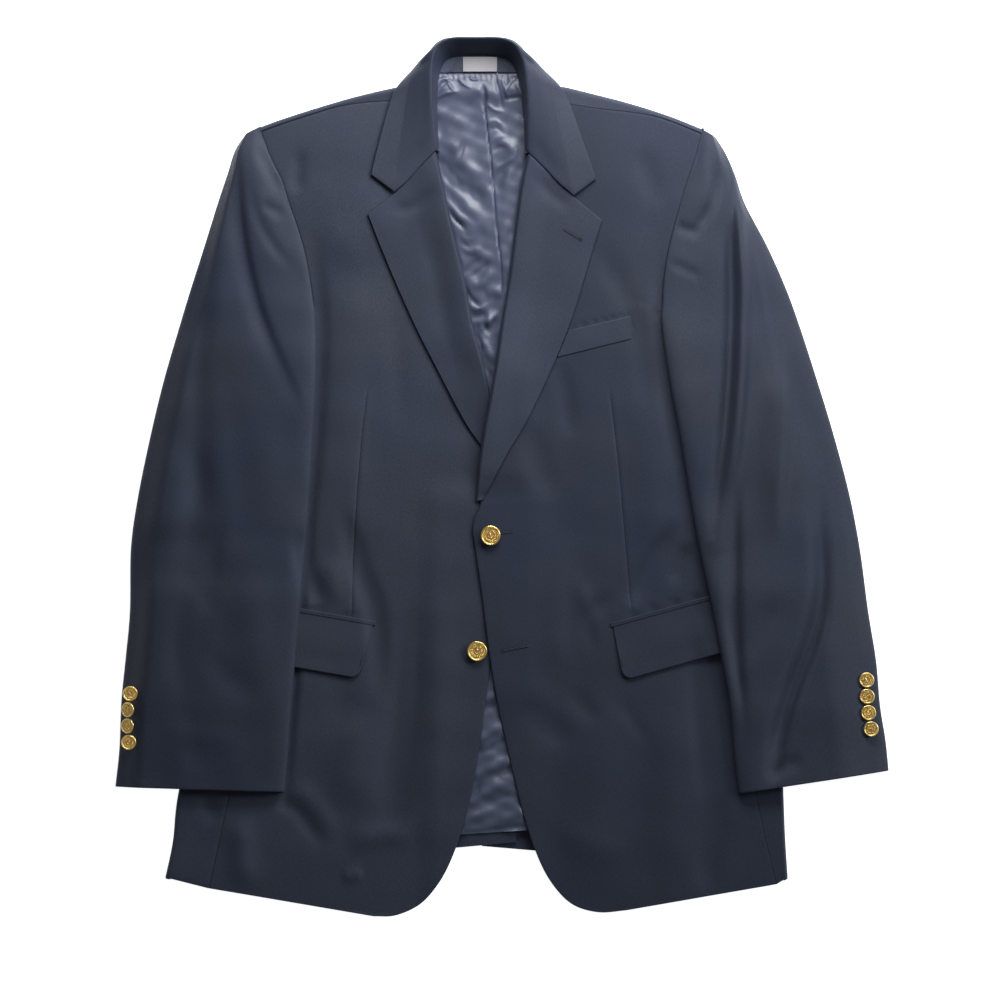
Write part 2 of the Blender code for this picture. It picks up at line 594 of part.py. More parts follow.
def sleeve_edges(side, count):
    """Rows of (outer across, outer down, inner across, inner down), and each row's crown."""
    rows = through(SLEEVE_SECTIONS[side], count)
    inward = -2 * SEAM if side == RIGHT else 2 * SEAM
    set_in = ramp(rows[:, 1], 306, 300)
    seam = across_at(ARMHOLE[side], rows[:, 1]) + inward
    inner = rows[:, 0] + (seam - rows[:, 0]) * set_in
    return np.column_stack([rows[:, 2], rows[:, 3], inner, rows[:, 1]]), rows[:, 4:5]


def sleeve_top(side, edges, crown, across, down, share):
    """Height of a top sleeve's outer face: a rounded section that leans from body to surface."""
    cap = ramp(edges[:, 3:4], *CAP_FADE)
    inner_across, inner_down = edges[:, 2:3], edges[:, 3:4]
    flap = FLAP_RISE * flap_share(side, inner_across, inner_down)
    inner = front_top(side, inner_across, inner_down) + flap + SLEEVE_REST * (1 - cap)
    rounded = (1 - np.abs(2 * share - 1) ** SLEEVE_ROUNDNESS) ** (1 / SLEEVE_ROUNDNESS)
    eased = np.where(share > 0.5, np.sin(math.pi * share), rounded)
    section = rounded + (eased - rounded) * cap
    base = np.maximum(inner * ramp(share, 0.0, 0.62), (sleeve_rest(side, across, down) + 0.3) * (1 - cap))
    inside = ramp(share, 0.0, 0.12) * ramp(share, 1.0, 0.88)
    edge = SLEEVE_EDGE * (1 - ramp(share, 0, 1))
    return edge + base + crown * section + folds(SLEEVE_FOLDS[side], across, down) * inside


def make_top_sleeve(side, name):
    edges, crown = sleeve_edges(side, 26)
    share = np.array(SLEEVE_COLUMNS)[None, :]
    across, down = between(edges, SLEEVE_COLUMNS)
    height = sleeve_top(side, edges, crown, across, down, share)
    cloth(name, across, down, height, CLOTH, WORSTED)


def make_under_sleeve(side, name):
    edges, _ = sleeve_edges(side, 21)
    sign = 1 if side == RIGHT else -1
    cap = ramp(edges[:, 3], *CAP_FADE)
    narrow = np.minimum(UNDER_INSET, 0.2 * np.abs(edges[:, 2] - edges[:, 0]))
    edges[:, 0] += narrow * sign
    edges[:, 2] -= (UNDER_INSET + (UNDER_INSET_CAP - UNDER_INSET) * cap) * sign
    edges = edges[1:]
    across, down = between(edges, 8)
    cloth(name, across, down, sleeve_rest(side, across, down) + CLOTH, CLOTH, WORSTED)


def make_flap(side, name):
    """A hip pocket's flap, its free lower corner rounded, with the jetting along its top."""
    flap = FLAPS[side]
    away = flap["away"]
    along = np.array([0.0, 2.0, 6.0, FLAP_CORNER, 45.0, 80.0, 115.0, FLAP_LENGTH])[None, :]
    fall = np.array(FLAP_SHARES)[:, None]
    short = FLAP_CORNER - np.sqrt(np.maximum(FLAP_CORNER**2 - np.maximum(FLAP_CORNER - along, 0) ** 2, 0))
    depth = flap["depth"] + (flap["foot_slope"] - flap["top_slope"]) * along * away - short
    slant = flap["slant"] * (1 - along / FLAP_LENGTH)
    across = flap["front"][0] + away * along + slant * fall
    down = flap["front"][1] + flap["top_slope"] * along * away + depth * fall
    jetting = JETTING_RISE * (fall <= FLAP_SHARES[1])
    height = front_top(side, across, down) + TURNED + jetting
    cloth(name, across, down, height, DOUBLED, WORSTED)


def make_welt():
    near_low, far_low, far_high, near_high = WELT_CORNERS
    edges = through(((*near_low, *far_low), (*near_high, *far_high)), 4)
    across, down = between(edges, 7)
    cloth("breast_welt", across, down, front_top(LEFT, across, down) + CLOTH + REST, CLOTH, WORSTED)


def make_button(name, across, down, foot, diameter, tilt):
    """A shank button turned from its profile."""
    profile = bmesh.new()
    corners = [profile.verts.new((x * diameter / 2 * MM, 0, z * diameter * MM)) for x, z in BUTTON_PROFILE]
    for first, second in zip(corners, corners[1:]):
        profile.edges.new((first, second))
    geometry = profile.verts[:] + profile.edges[:]
    turn = {"axis": (0, 0, 1), "cent": (0, 0, 0), "steps": BUTTON_SIDES, "angle": 2 * math.pi}
    bmesh.ops.spin(profile, geom=geometry, **turn)
    bmesh.ops.remove_doubles(profile, verts=profile.verts[:], dist=0.00001)
    bmesh.ops.recalc_face_normals(profile, faces=profile.faces[:])
    data = bpy.data.meshes.new(name)
    profile.to_mesh(data)
    profile.free()
    button = add_piece(name, data, BRASS)
    data.set_sharp_from_angle(angle=math.radians(40))
    x, y = (across - LAYOUT_CENTRE[0]) * MM, (LAYOUT_CENTRE[1] - down) * MM
    button.location = (x, y, (foot + BUTTON_ABOVE) * MM)
    button.rotation_euler = (0, math.radians(tilt), 0)


def make_buttons():
    for name, across, down, side in FRONT_BUTTONS:
        foot = float(front_top(side, np.array(across), np.array(down)))
        make_button(name, across, down, foot, FRONT_BUTTON, 0)
    for side, word in ((RIGHT, "right"), (LEFT, "left")):
        for number, (across, down, tilt) in enumerate(CUFF_BUTTONS[side], start=1):
            foot = cuff_height(side, across, down)
            raised = TILT_RISE * math.sin(math.radians(abs(tilt)))
            make_button(f"button_cuff_{word}_{number}", across, down, foot + raised, CUFF_BUTTON, tilt)


def cuff_height(side, across, down):
    """The highest cloth under a cuff button's shank."""
    edges, crown = sleeve_edges(side, 200)
    row = int(np.argmin(np.abs((edges[:, 1] + edges[:, 3]) / 2 - down)))
    edge = edges[row : row + 1]
    shank = CUFF_BUTTON / 2 * BUTTON_PROFILE[1][0]
    spots = across + np.array([[-shank, 0, shank]])
    share = (spots - edge[0, 0]) / (edge[0, 2] - edge[0, 0])
    top = sleeve_top(side, edge, crown[row : row + 1], spots, down + 0 * spots, share)
    return float(top.max())


def make_blazer():
    for old in list(bpy.data.objects):
        bpy.data.objects.remove(old)
    bpy.context.scene.collection.children.link(bpy.data.collections.new("blazer"))
    for side, word in ((RIGHT, "right"), (LEFT, "left")):
        make_back(side, f"back_{word}")
        make_side(side, f"side_{word}")
        make_front(side, f"front_{word}")
        make_lapel(side, f"lapel_{word}")
        make_top_sleeve(side, f"sleeve_top_{word}")
        make_under_sleeve(side, f"sleeve_under_{word}")
        make_flap(side, f"flap_{word}")
    make_lining()
    make_neck()
    make_collar()
    make_welt()
    make_buttons()


make_blazer()
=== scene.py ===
# A two-button blazer laid flat on its back: its cloth, lining, buttons and sewing.
# Sizes are millimetres on a layout square one metre wide: across from its left edge, down from its
# top edge, and height above the surface. Left and right are the wearer's.
import math

import bpy
import numpy as np
from mathutils import Matrix, Vector
from mathutils.bvhtree import BVHTree


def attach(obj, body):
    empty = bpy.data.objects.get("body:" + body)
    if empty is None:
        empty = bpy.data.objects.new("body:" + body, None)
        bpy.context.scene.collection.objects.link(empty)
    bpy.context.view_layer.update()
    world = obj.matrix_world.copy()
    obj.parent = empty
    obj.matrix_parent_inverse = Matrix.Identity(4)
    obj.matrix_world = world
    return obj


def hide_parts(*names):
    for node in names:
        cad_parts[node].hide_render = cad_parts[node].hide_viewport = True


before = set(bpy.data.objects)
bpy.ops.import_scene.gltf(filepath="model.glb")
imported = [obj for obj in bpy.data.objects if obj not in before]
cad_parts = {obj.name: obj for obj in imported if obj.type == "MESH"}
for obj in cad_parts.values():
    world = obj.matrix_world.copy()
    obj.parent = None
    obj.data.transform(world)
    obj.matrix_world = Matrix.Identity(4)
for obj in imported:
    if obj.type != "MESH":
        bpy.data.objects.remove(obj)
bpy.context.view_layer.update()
print("frame loaded:", len(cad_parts), "nodes")

right, left = 0, 1
words = ("right", "left")
inward = (1, -1)  # which way across runs towards the middle, on each side
layout = {"centre": (502.0, 477.0), "mm": 0.001}
walls = {"worsted": 1.6, "doubled": 2.0, "satin": 1.0, "label": 0.6}
stack = {
    "seam": 0.4,  # between two edges that a seam joins
    "rest": 0.7,  # between a piece and the one that it lies on
    "frontTop": 6.4,
    "shoulderRise": 4.5,
    "shoulderFade": (300, 120),
    "liningFoot": 2.2,
    "ventLift": 2.2,  # the right back half over the vent
    "ventRise": 1.6,  # and the fronts by this
    "lap": 2.6,  # the left front on the right front
    "turned": 2.7,  # a lapel on a front
    "flapRise": 3.6,  # a sleeve over a flap
    "sleeveRest": 1.1,
    "ventAcross": (415, 440, 526, 560),
    "ventDown": (475, 505),
    "lappedAcross": (572, 522),
    "lappedDown": (290, 385, 682, 742),
    "crossedAcross": (545, 515),
    "crossedDown": (290, 398, 470, 500),
    "foldsBelow": (120, 180),
}

# outlines that pieces share: (across, down) for the wearer's right, then left
outlines = {
    "armhole": (
        (
            (259.5, 127.0), (272, 160), (282, 180), (289, 202), (297, 225), (305, 252), (310.5, 281),
            (315, 310),
        ),
        (
            (702.5, 129.5), (695, 158), (687, 182), (678.5, 210), (670.5, 240), (665, 268), (662.5, 290),
            (662, 310),
        ),
    ),
    "frontSideSeam": (
        (
            (254, 354), (258, 400), (266, 480), (266, 545), (256, 640), (241, 730), (230, 790), (220, 838),
            (209, 888),
        ),
        (
            (748, 354), (744, 400), (736, 480), (735, 545), (739, 640), (747, 730), (755, 790), (765, 838),
            (776, 884),
        ),
    ),
    "sideEdge": (
        (
            (214, 345), (220, 390), (228, 450), (232, 520), (218, 620), (203, 690), (179, 790), (173, 841),
            (165.5, 877),
        ),
        (
            (788, 345), (782, 390), (776, 450), (772, 520), (776, 620), (779, 690), (783, 786), (785, 836),
            (787.6, 877),
        ),
    ),
    "backSideSeam": (
        (
            (270, 354), (274, 390), (281, 450), (283, 520), (272, 620), (258, 700), (246, 790), (240, 830),
            (236, 868),
        ),
        (
            (732, 354), (728, 390), (722, 450), (719, 520), (722, 620), (727, 700), (732, 790), (736, 830),
            (740, 868),
        ),
    ),
    "shoulder": (
        (
            (259, 128), (284, 119), (315, 109), (345, 100), (372, 93), (399, 87), (425, 81), (436, 70),
            (450, 63), (472, 59.5), (497, 58.5),
        ),
        (
            (497, 58.5), (515, 61), (529, 69), (545, 82), (572, 89), (600, 96), (625, 102.5), (650, 110),
            (676, 119), (703, 130),
        ),
    ),
    "seamBelowShoulder": (
        ((259, 5.0), (300, 5.0), (335, 5.2), (362, 8.0), (390, 12.5), (425, 16.0)),
        ((545, 18.0), (571, 16.5), (600, 13.5), (630, 9.0), (658, 5.2), (703, 5.0)),
    ),
    "neckPoint": (425.0, 545.0),
}
curveSteps = {"outline": 12, "fold": 10}  # points worked out for each one that is given


def ramp(value, start, end):
    # 0 at start, 1 at end, smooth between
    share = np.clip((value - start) / (end - start), 0.0, 1.0)
    return share * share * (3.0 - 2.0 * share)


def zone(value, limits):
    # rises to 1 between the first two limits, and falls again between the last two of four
    share = ramp(value, limits[0], limits[1])
    if len(limits) == 4:
        share = share * ramp(value, limits[3], limits[2])
    return share


def rowRamp(rows, start, end):
    # a ramp over a grid's rows, by their share of the way from the first to the last
    return ramp(np.linspace(0, 1, len(rows)), start, end)[:, None]


def through(rows, count):
    # count rows along a smooth curve through the given rows
    rows = np.array(rows, float)
    padded = np.concatenate([2 * rows[:1] - rows[1:2], rows, 2 * rows[-1:] - rows[-2:-1]])
    place = np.linspace(0.0, len(rows) - 1.0, count)
    index = np.minimum(place.astype(int), len(rows) - 2)
    t = (place - index).reshape((-1,) + (1,) * (rows.ndim - 1))
    a, b, c, d = (padded[index + step] for step in range(4))
    return b + 0.5 * t * (c - a + t * (2 * a - 5 * b + 4 * c - d + t * (3 * (b - c) + d - a)))


def readCurve(outline, known, wanted, value):
    # the smooth curve through an outline's points, read where one of its axes has a value
    curve = through(outline, curveSteps["outline"] * len(outline))
    curve = curve[np.argsort(curve[:, known])]
    return np.interp(value, curve[:, known], curve[:, wanted])


def acrossAt(outline, down):
    # (across, down) are an outline's axes 0 and 1
    return readCurve(outline, 1, 0, down)


def downAt(outline, across):
    return readCurve(outline, 0, 1, across)


def outerEdge(side, seamName, down):
    # a side seam, with the armhole above it
    sideSeam, armhole = outlines[seamName][side], outlines["armhole"][side]
    low, high = sideSeam[0], armhole[-1]
    joined = np.interp(down, (high[1], low[1]), (high[0], low[0]))
    above = np.where(down <= high[1], acrossAt(armhole, down), joined)
    return np.where(down >= low[1], acrossAt(sideSeam, down), above)


foldShape = {
    "end": 0.3,  # share of a fold's length over which it dies away
    "reach": 3,  # half widths beyond which it isn't felt
    "troughShift": 0.6,  # half widths from a trough's right wall to its lowest line
}


def folds(rows, across, down):
    # soft folds, each (half width, or its left and right ones, height, points of its path); a trough's
    # height is negative and its path runs along its right wall
    across, down = np.broadcast_arrays(np.asarray(across, float), np.asarray(down, float))
    total = np.zeros(across.size)
    points = np.column_stack([across.ravel(), down.ravel()])
    end = foldShape["end"]
    for halfWidths, height, *path in rows:
        leftWidth, rightWidth = halfWidths if isinstance(halfWidths, tuple) else (halfWidths, halfWidths)
        shift = foldShape["troughShift"] * rightWidth if height < 0 else 0.0
        spots = through(path, curveSteps["fold"] * len(path)) - (shift, 0.0)
        reach = foldShape["reach"] * max(leftWidth, rightWidth)
        low, high = spots.min(0) - reach, spots.max(0) + reach
        near = np.flatnonzero(((points > low) & (points < high)).all(1))
        if not len(near):
            continue
        step = np.gradient(spots, axis=0)
        length = np.linalg.norm(step, axis=1)
        offset = points[near, None] - spots[None]
        nearest = (offset**2).sum(2).argmin(1)
        offset, ahead = offset[np.arange(len(near)), nearest], step[nearest]
        along = (nearest + (offset * ahead).sum(1) / length[nearest] ** 2) / (len(spots) - 1)
        aside = (offset[:, 0] * ahead[:, 1] - offset[:, 1] * ahead[:, 0]) / length[nearest]
        fade = zone(along, (-end / 2, end, 1 - end, 1 + end / 2))
        total[near] += height * fade * np.exp(-((aside / np.where(aside > 0, rightWidth, leftWidth)) ** 2))
    return total.reshape(across.shape)


# sine waves laid over each other: how many, their full turn, and how far each may be shifted
waves = {"count": 9, "turn": 6.283, "shift": 6.3, "thinning": 3}


def undulation(across, down, side, uneven):
    # the slight unevenness of cloth that was laid by hand
    chance = np.random.RandomState(uneven["seed"] + side)
    total = 0.0
    for _ in range(waves["count"]):
        angle = chance.uniform(0, math.pi)
        length = chance.uniform(uneven["shortest"], uneven["longest"])
        phase = chance.uniform(0, waves["shift"])
        run = across * math.cos(angle) + down * math.sin(angle)
        total = total + np.sin(waves["turn"] / length * run + phase)
    return uneven["size"] / waves["thinning"] * total


def between(edges, shares):
    # points across straight lines from (across, down) to (across, down)
    shares = np.atleast_2d(shares)
    startAcross, startDown, endAcross, endDown = (edges[:, k : k + 1] for k in range(4))
    across = startAcross + (endAcross - startAcross) * shares
    return across, startDown + (endDown - startDown) * shares


edging = {
    "steps": 4,
    "most": 0.85,  # share of the first strip that a roll may take up
    "tuckShares": (1.0, 0.3),  # of a tuck's reach, one for each row of it
    "tuckDrop": (0.3, 1.2),
    "leastStrip": 0.001,
}


def rollEdge(points, border, radius, tuck=0.0):
    # round one border of a grid of points over, with new rows close to it, and tuck it under a
    # neighbour; low and high are the first and last rows, start and end the first and last columns
    grid = points.transpose(1, 0, 2) if border in ("low", "high") else points
    grid = grid[:, ::-1] if border in ("high", "end") else grid
    first, second = grid[:, :1], grid[:, 1:2]
    length = np.linalg.norm(second - first, axis=2, keepdims=True) + edging["leastStrip"]
    bands = []
    if tuck:
        for share in edging["tuckShares"]:
            band = first - (second - first) / length * tuck * share
            drop, further = edging["tuckDrop"]
            band[:, :, 2] = first[:, :, 2] - radius - (drop + further * share)
            bands.append(band)
    for angle in np.linspace(0, math.pi / 2, edging["steps"] + 1):
        inside = radius * (1 - math.cos(angle))
        band = first + (second - first) * np.minimum(inside / length, edging["most"])
        band[:, :, 2] -= radius * (1 - math.sin(angle))
        bands.append(band)
    grid = np.concatenate(bands + [grid[:, 1:]], axis=1)
    grid = grid[:, ::-1] if border in ("high", "end") else grid
    return grid.transpose(1, 0, 2) if border in ("low", "high") else grid


def rollEdges(points, **radii):
    # roll each named border over by its own radius
    for border, radius in radii.items():
        points = rollEdge(points, border, radius)
    return points


def flatCut(points):
    # width, length and area of a grid of points laid out flat, in metres
    rowStep = np.diff(points, axis=1)
    columnStep = np.diff(points, axis=0)
    width = np.linalg.norm(rowStep, axis=2).sum(1).max()
    length = np.linalg.norm(columnStep, axis=2).sum(0).max()
    cells = np.cross(rowStep[:-1], columnStep[:, :-1])
    area = np.linalg.norm(cells, axis=2).sum()
    return (width * layout["mm"], length * layout["mm"]), area * layout["mm"] ** 2


def inMetres(across, down, height):
    # a place on the layout, on the frame's own axes
    x = (across - layout["centre"][0]) * layout["mm"]
    y = (layout["centre"][1] - down) * layout["mm"]
    return x, y, height * layout["mm"]


def gridMesh(name, points, faceUp=True):
    # a grid primitive, each vertex moved to its point, with a UV map in metres along the cloth
    rows, columns = points.shape[:2]
    bpy.ops.object.select_all(action="DESELECT")
    bpy.ops.mesh.primitive_grid_add(x_subdivisions=columns - 1, y_subdivisions=rows - 1, size=1.0)
    piece = bpy.context.object
    piece.name = piece.data.name = f"{name}_cloth"
    mesh = piece.data
    start = np.empty(3 * len(mesh.vertices))
    mesh.vertices.foreach_get("co", start)
    start = start.reshape(-1, 3)
    column = np.rint((start[:, 0] + 0.5) * (columns - 1)).astype(int)
    row = np.rint((start[:, 1] + 0.5) * (rows - 1)).astype(int)
    place = np.column_stack(inMetres(*points[row, column].T))
    mesh.vertices.foreach_set("co", place.ravel())
    middle = columns // 2
    widths = np.linalg.norm(np.diff(points, axis=1), axis=2).cumsum(1)
    widths = np.hstack([np.zeros((rows, 1)), widths])
    lengths = np.linalg.norm(np.diff(points, axis=0), axis=2).cumsum(0)
    lengths = np.vstack([np.zeros((1, columns)), lengths])
    corners = np.empty(len(mesh.loops), int)
    mesh.loops.foreach_get("vertex_index", corners)
    spread = (widths - widths[:, middle : middle + 1])[row, column] * layout["mm"]
    run = lengths[row, column] * layout["mm"]
    mesh.uv_layers.active.data.foreach_set("uv", np.column_stack([spread, run])[corners].ravel())
    mesh.update()
    facing = sum(face.normal.z * face.area for face in mesh.polygons)
    if (facing > 0) != faceUp:
        mesh.flip_normals()
    return piece


def selectOnly(piece):
    bpy.ops.object.select_all(action="DESELECT")
    piece.select_set(True)
    bpy.context.view_layer.objects.active = piece


def applyModifier(piece, kind, **values):
    selectOnly(piece)
    modifier = piece.modifiers.new(kind.lower(), kind)
    for key, value in values.items():
        setattr(modifier, key, value)
    bpy.ops.object.modifier_apply(modifier=modifier.name)


def dress(piece, material, smoothAngle):
    piece.data.materials.clear()
    piece.data.materials.append(material)
    selectOnly(piece)
    bpy.ops.object.shade_smooth_by_angle(angle=math.radians(smoothAngle))


smoothAngles = {"cloth": 50, "cord": 80, "slit": 60, "button": 50}


def backWith(piece, wall, material):
    # give a piece of cloth its wall, behind its outer face, and its finish
    applyModifier(piece, "SOLIDIFY", thickness=wall * layout["mm"], offset=-1.0)
    dress(piece, material, smoothAngles["cloth"])


def cloth(name, points, wall, material, faceUp=True):
    # cloth whose outer face is the grid of points
    piece = gridMesh(name, points, faceUp)
    backWith(piece, wall, material)
    return piece


def sewOn(piece, slotName, *nodes):
    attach(piece, "root")
    if nodes:
        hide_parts(*nodes)


def laySheet(piece, points, restsOn, slotName, *nodes, trims=()):
    # print what the cloth was cut to, and hide the solid that it stands for
    sewOn(piece, slotName, *nodes)
    flat, area = flatCut(points)
    area = min(area, flat[0] * flat[1])
    print(f"cut of {piece.name}: {flat[0]:.3f} x {flat[1]:.3f} m, {area:.4f} m2")


def put(tree, kind, inputs=(), **settings):
    # a node with its settings, each input given as a value or as another node's socket
    node = tree.nodes.new("ShaderNode" + kind)
    for key, value in settings.items():
        setattr(node, key, value)
    for key, value in dict(inputs).items():
        if isinstance(value, bpy.types.NodeSocket):
            tree.links.new(value, node.inputs[key])
        else:
            node.inputs[key].default_value = value
    return node


def newGroup(name, inputs, outputs):
    # a node group that reads a vector and some numbers, each with its usual value
    tree = bpy.data.node_groups.new(name, "ShaderNodeTree")
    sockets = tree.interface
    sockets.new_socket("Vector", in_out="INPUT", socket_type="NodeSocketVector")
    for socket, value in inputs.items():
        sockets.new_socket(socket, in_out="INPUT", socket_type="NodeSocketFloat").default_value = value
    for socket in outputs:
        sockets.new_socket(socket, in_out="OUTPUT", socket_type="NodeSocketFloat")
    return tree, tree.nodes.new("NodeGroupInput"), tree.nodes.new("NodeGroupOutput")


weaveLook = {
    "ribs": 1000.0,  # a metre, and so is the grain
    "grain": 700.0,
    "stretch": (1.0, 0.6, 1.0),
    "detail": 2.0,
    "grainShare": 0.62,
}
toneLook = {"scale": 14.0, "detail": 3.0, "darkest": 0.3, "lightest": 0.7}


def makeWeave():
    # a twill's threads: Shade is 0 between threads and 1 on them, Height is for a bump
    usual = {"Ribs": weaveLook["ribs"], "Grain": weaveLook["grain"]}
    tree, entry, leave = newGroup("twill weave", usual, ("Shade", "Height"))
    place = put(tree, "SeparateXYZ", {0: entry.outputs["Vector"]})
    diagonal = put(tree, "Math", {0: place.outputs[0], 1: place.outputs[1]}, operation="ADD")
    turns = put(tree, "Math", {0: diagonal.outputs[0], 1: entry.outputs["Ribs"]}, operation="MULTIPLY")
    radians = put(tree, "Math", {0: turns.outputs[0], 1: 2 * math.pi}, operation="MULTIPLY")
    wave = put(tree, "Math", {0: radians.outputs[0]}, operation="SINE")
    rib = put(tree, "MapRange", {0: wave.outputs[0], 1: -1.0, 2: 1.0, 3: 0.0, 4: 1.0})
    longways = put(
        tree, "VectorMath", {0: entry.outputs["Vector"], 1: weaveLook["stretch"]}, operation="MULTIPLY"
    )
    grain = put(
        tree,
        "TexNoise",
        {0: longways.outputs[0], "Scale": entry.outputs["Grain"], "Detail": weaveLook["detail"]},
    )
    mixed = put(tree, "Mix", {0: weaveLook["grainShare"], 2: rib.outputs[0], 3: grain.outputs["Fac"]})
    for socket in ("Shade", "Height"):
        tree.links.new(mixed.outputs[0], leave.inputs[socket])
    return tree


def makeSlowTone():
    # slow changes of tone across a surface, 0 to 1
    tree, entry, leave = newGroup("slow tone", {"Scale": toneLook["scale"]}, ("Tone",))
    noise = put(
        tree,
        "TexNoise",
        {0: entry.outputs["Vector"], "Scale": entry.outputs["Scale"], "Detail": toneLook["detail"]},
    )
    spread = put(
        tree,
        "MapRange",
        {0: noise.outputs["Fac"], 1: toneLook["darkest"], 2: toneLook["lightest"], 3: 0.0, 4: 1.0},
    )
    tree.links.new(spread.outputs[0], leave.inputs["Tone"])
    return tree


twillWeave = makeWeave()
slowTone = makeSlowTone()

worstedLook = {
    "dark": (0.0062, 0.0085, 0.0170),
    "light": (0.030, 0.036, 0.058),
    "warm": (1.05, 1.02, 0.96),
    "cool": (0.95, 0.99, 1.08),
    "toneScale": 9.0,
    "specular": 0.32,
    "specularTint": (0.78, 0.86, 1.0, 1.0),
    "roughness": 0.56,
    "rougher": 0.08,  # between threads
    "smoother": 0.06,  # on them
    "ribs": 1150.0,
    "grain": 640.0,
    "bump": 0.00022,
    "bumpStrength": 0.8,
    "sheen": 0.05,
    "sheenRoughness": 0.45,
    "sheenTint": (0.55, 0.66, 1.0, 1.0),
    "facing": 1.6,  # painted light: brighter, to lift the shade inside the garment
    "lapel": 1.1,  # painted sheen: brighter, on the left one
}
satinLook = {
    "dark": (0.040, 0.050, 0.086),
    "light": (0.062, 0.074, 0.120),
    "roughness": 0.40,
    "ribs": 3200.0,
    "bump": 0.00005,
}
labelLook = {
    "ground": (0.27, 0.266, 0.285),
    "thread": (0.19, 0.19, 0.21),
    "rows": 1500.0,
    "roughness": 0.6,
    "bump": 0.0001,
}
threadLook = {
    "colour": (0.016, 0.020, 0.032),
    "dark": 0.6,
    "light": 1.3,
    "roughness": 0.6,
    "specular": 0.25,
    "toneScale": 900.0,
    "cord": 1.25,  # brightness of a cord, and of the slit inside it, whose shade is painted
    "slit": 0.12,
}
brassLook = {
    "bright": (0.98, 0.76, 0.32),
    "deep": (0.80, 0.56, 0.19),
    "ground": (0.36, 0.22, 0.06),
    "roughness": 0.29,
    "groundRougher": 0.14,
    "worn": (0.12, -0.04),  # rougher in its dark parts, smoother in its bright ones
    "toneScale": 420.0,
    "bump": 0.0001,
    "bumpStrength": 0.5,
}


def newMaterial(name, constants):
    # a material with the inputs of its shader that don't change over the surface
    material = bpy.data.materials.new(name)
    material.use_nodes = True
    shader = material.node_tree.nodes["Principled BSDF"]
    for key, value in constants.items():
        shader.inputs[key].default_value = value
    return material, material.node_tree, shader


def feed(tree, shader, sockets):
    # link each socket to the shader's input of that name
    for key, socket in sockets.items():
        tree.links.new(socket, shader.inputs[key])


def opaque(colour, brightness=1.0):
    return tuple(value * brightness for value in colour) + (1.0,)


def weaveAlong(tree, ribs, grain=weaveLook["grain"]):
    # the weave follows the piece's UV map, in metres along the cloth
    cuts = put(tree, "UVMap")
    return put(
        tree, "Group", {"Vector": cuts.outputs[0], "Ribs": ribs, "Grain": grain}, node_tree=twillWeave
    )


def toneAcross(tree, scale=toneLook["scale"]):
    # the tone follows the piece's place on the garment
    where = put(tree, "TexCoord")
    tone = put(tree, "Group", {"Vector": where.outputs["Object"], "Scale": scale}, node_tree=slowTone)
    return tone.outputs["Tone"]


def mixColours(tree, share, first, second, **settings):
    # sockets 6 and 7 of a Mix node are its colours, and its output 2 is their mixture
    return put(tree, "Mix", {0: share, 6: first, 7: second}, data_type="RGBA", **settings).outputs[2]


def mapShare(tree, share, first, second):
    # first where a share is 0, second where it is 1
    return put(tree, "MapRange", {0: share, 1: 0.0, 2: 1.0, 3: first, 4: second}).outputs[0]


def bumpFrom(tree, height, distance, strength=1.0):
    return put(tree, "Bump", {"Height": height, "Distance": distance, "Strength": strength}).outputs[0]


def wovenMaterial(name, look, brightness=1.0):
    constants = {
        "Specular IOR Level": look["specular"],
        "Specular Tint": look["specularTint"],
        "Sheen Weight": look["sheen"],
        "Sheen Roughness": look["sheenRoughness"],
        "Sheen Tint": look["sheenTint"],
    }
    material, tree, shader = newMaterial(name, constants)
    weave = weaveAlong(tree, look["ribs"], look["grain"])
    shade, tone = weave.outputs["Shade"], toneAcross(tree, look["toneScale"])
    threads = mixColours(tree, shade, opaque(look["dark"], brightness), opaque(look["light"], brightness))
    cast = mixColours(tree, tone, opaque(look["warm"]), opaque(look["cool"]))
    colour = mixColours(tree, 1.0, threads, cast, blend_type="MULTIPLY")
    matt = mapShare(tree, shade, look["roughness"] + look["rougher"], look["roughness"] - look["smoother"])
    bump = bumpFrom(tree, weave.outputs["Height"], look["bump"], look["bumpStrength"])
    feed(tree, shader, {"Base Color": colour, "Roughness": matt, "Normal": bump})
    return material


def satinMaterial(name, look):
    material, tree, shader = newMaterial(name, {"Roughness": look["roughness"]})
    weave = weaveAlong(tree, look["ribs"])
    colour = mixColours(tree, toneAcross(tree), opaque(look["dark"]), opaque(look["light"]))
    bump = bumpFrom(tree, weave.outputs["Height"], look["bump"])
    feed(tree, shader, {"Base Color": colour, "Normal": bump})
    return material


def labelMaterial(name, look):
    material, tree, shader = newMaterial(name, {"Roughness": look["roughness"]})
    weave = weaveAlong(tree, look["rows"])
    colour = mixColours(tree, weave.outputs["Shade"], opaque(look["thread"]), opaque(look["ground"]))
    bump = bumpFrom(tree, weave.outputs["Height"], look["bump"])
    feed(tree, shader, {"Base Color": colour, "Normal": bump})
    return material


def brassMaterial(name, dark, light, roughness):
    # worn bright on its raised parts, darker in the ground behind them
    material, tree, shader = newMaterial(name, {"Metallic": 1.0})
    tone = toneAcross(tree, brassLook["toneScale"])
    rougher, smoother = brassLook["worn"]
    colour = mixColours(tree, tone, opaque(dark), opaque(light))
    polish = mapShare(tree, tone, roughness + rougher, roughness + smoother)
    bump = bumpFrom(tree, tone, brassLook["bump"], brassLook["bumpStrength"])
    feed(tree, shader, {"Base Color": colour, "Roughness": polish, "Normal": bump})
    return material


def threadMaterial(name, look, brightness):
    constants = {"Roughness": look["roughness"], "Specular IOR Level": look["specular"]}
    material, tree, shader = newMaterial(name, constants)
    dark = opaque(look["colour"], look["dark"] * brightness)
    light = opaque(look["colour"], look["light"] * brightness)
    colour = mixColours(tree, toneAcross(tree, look["toneScale"]), dark, light)
    feed(tree, shader, {"Base Color": colour})
    return material


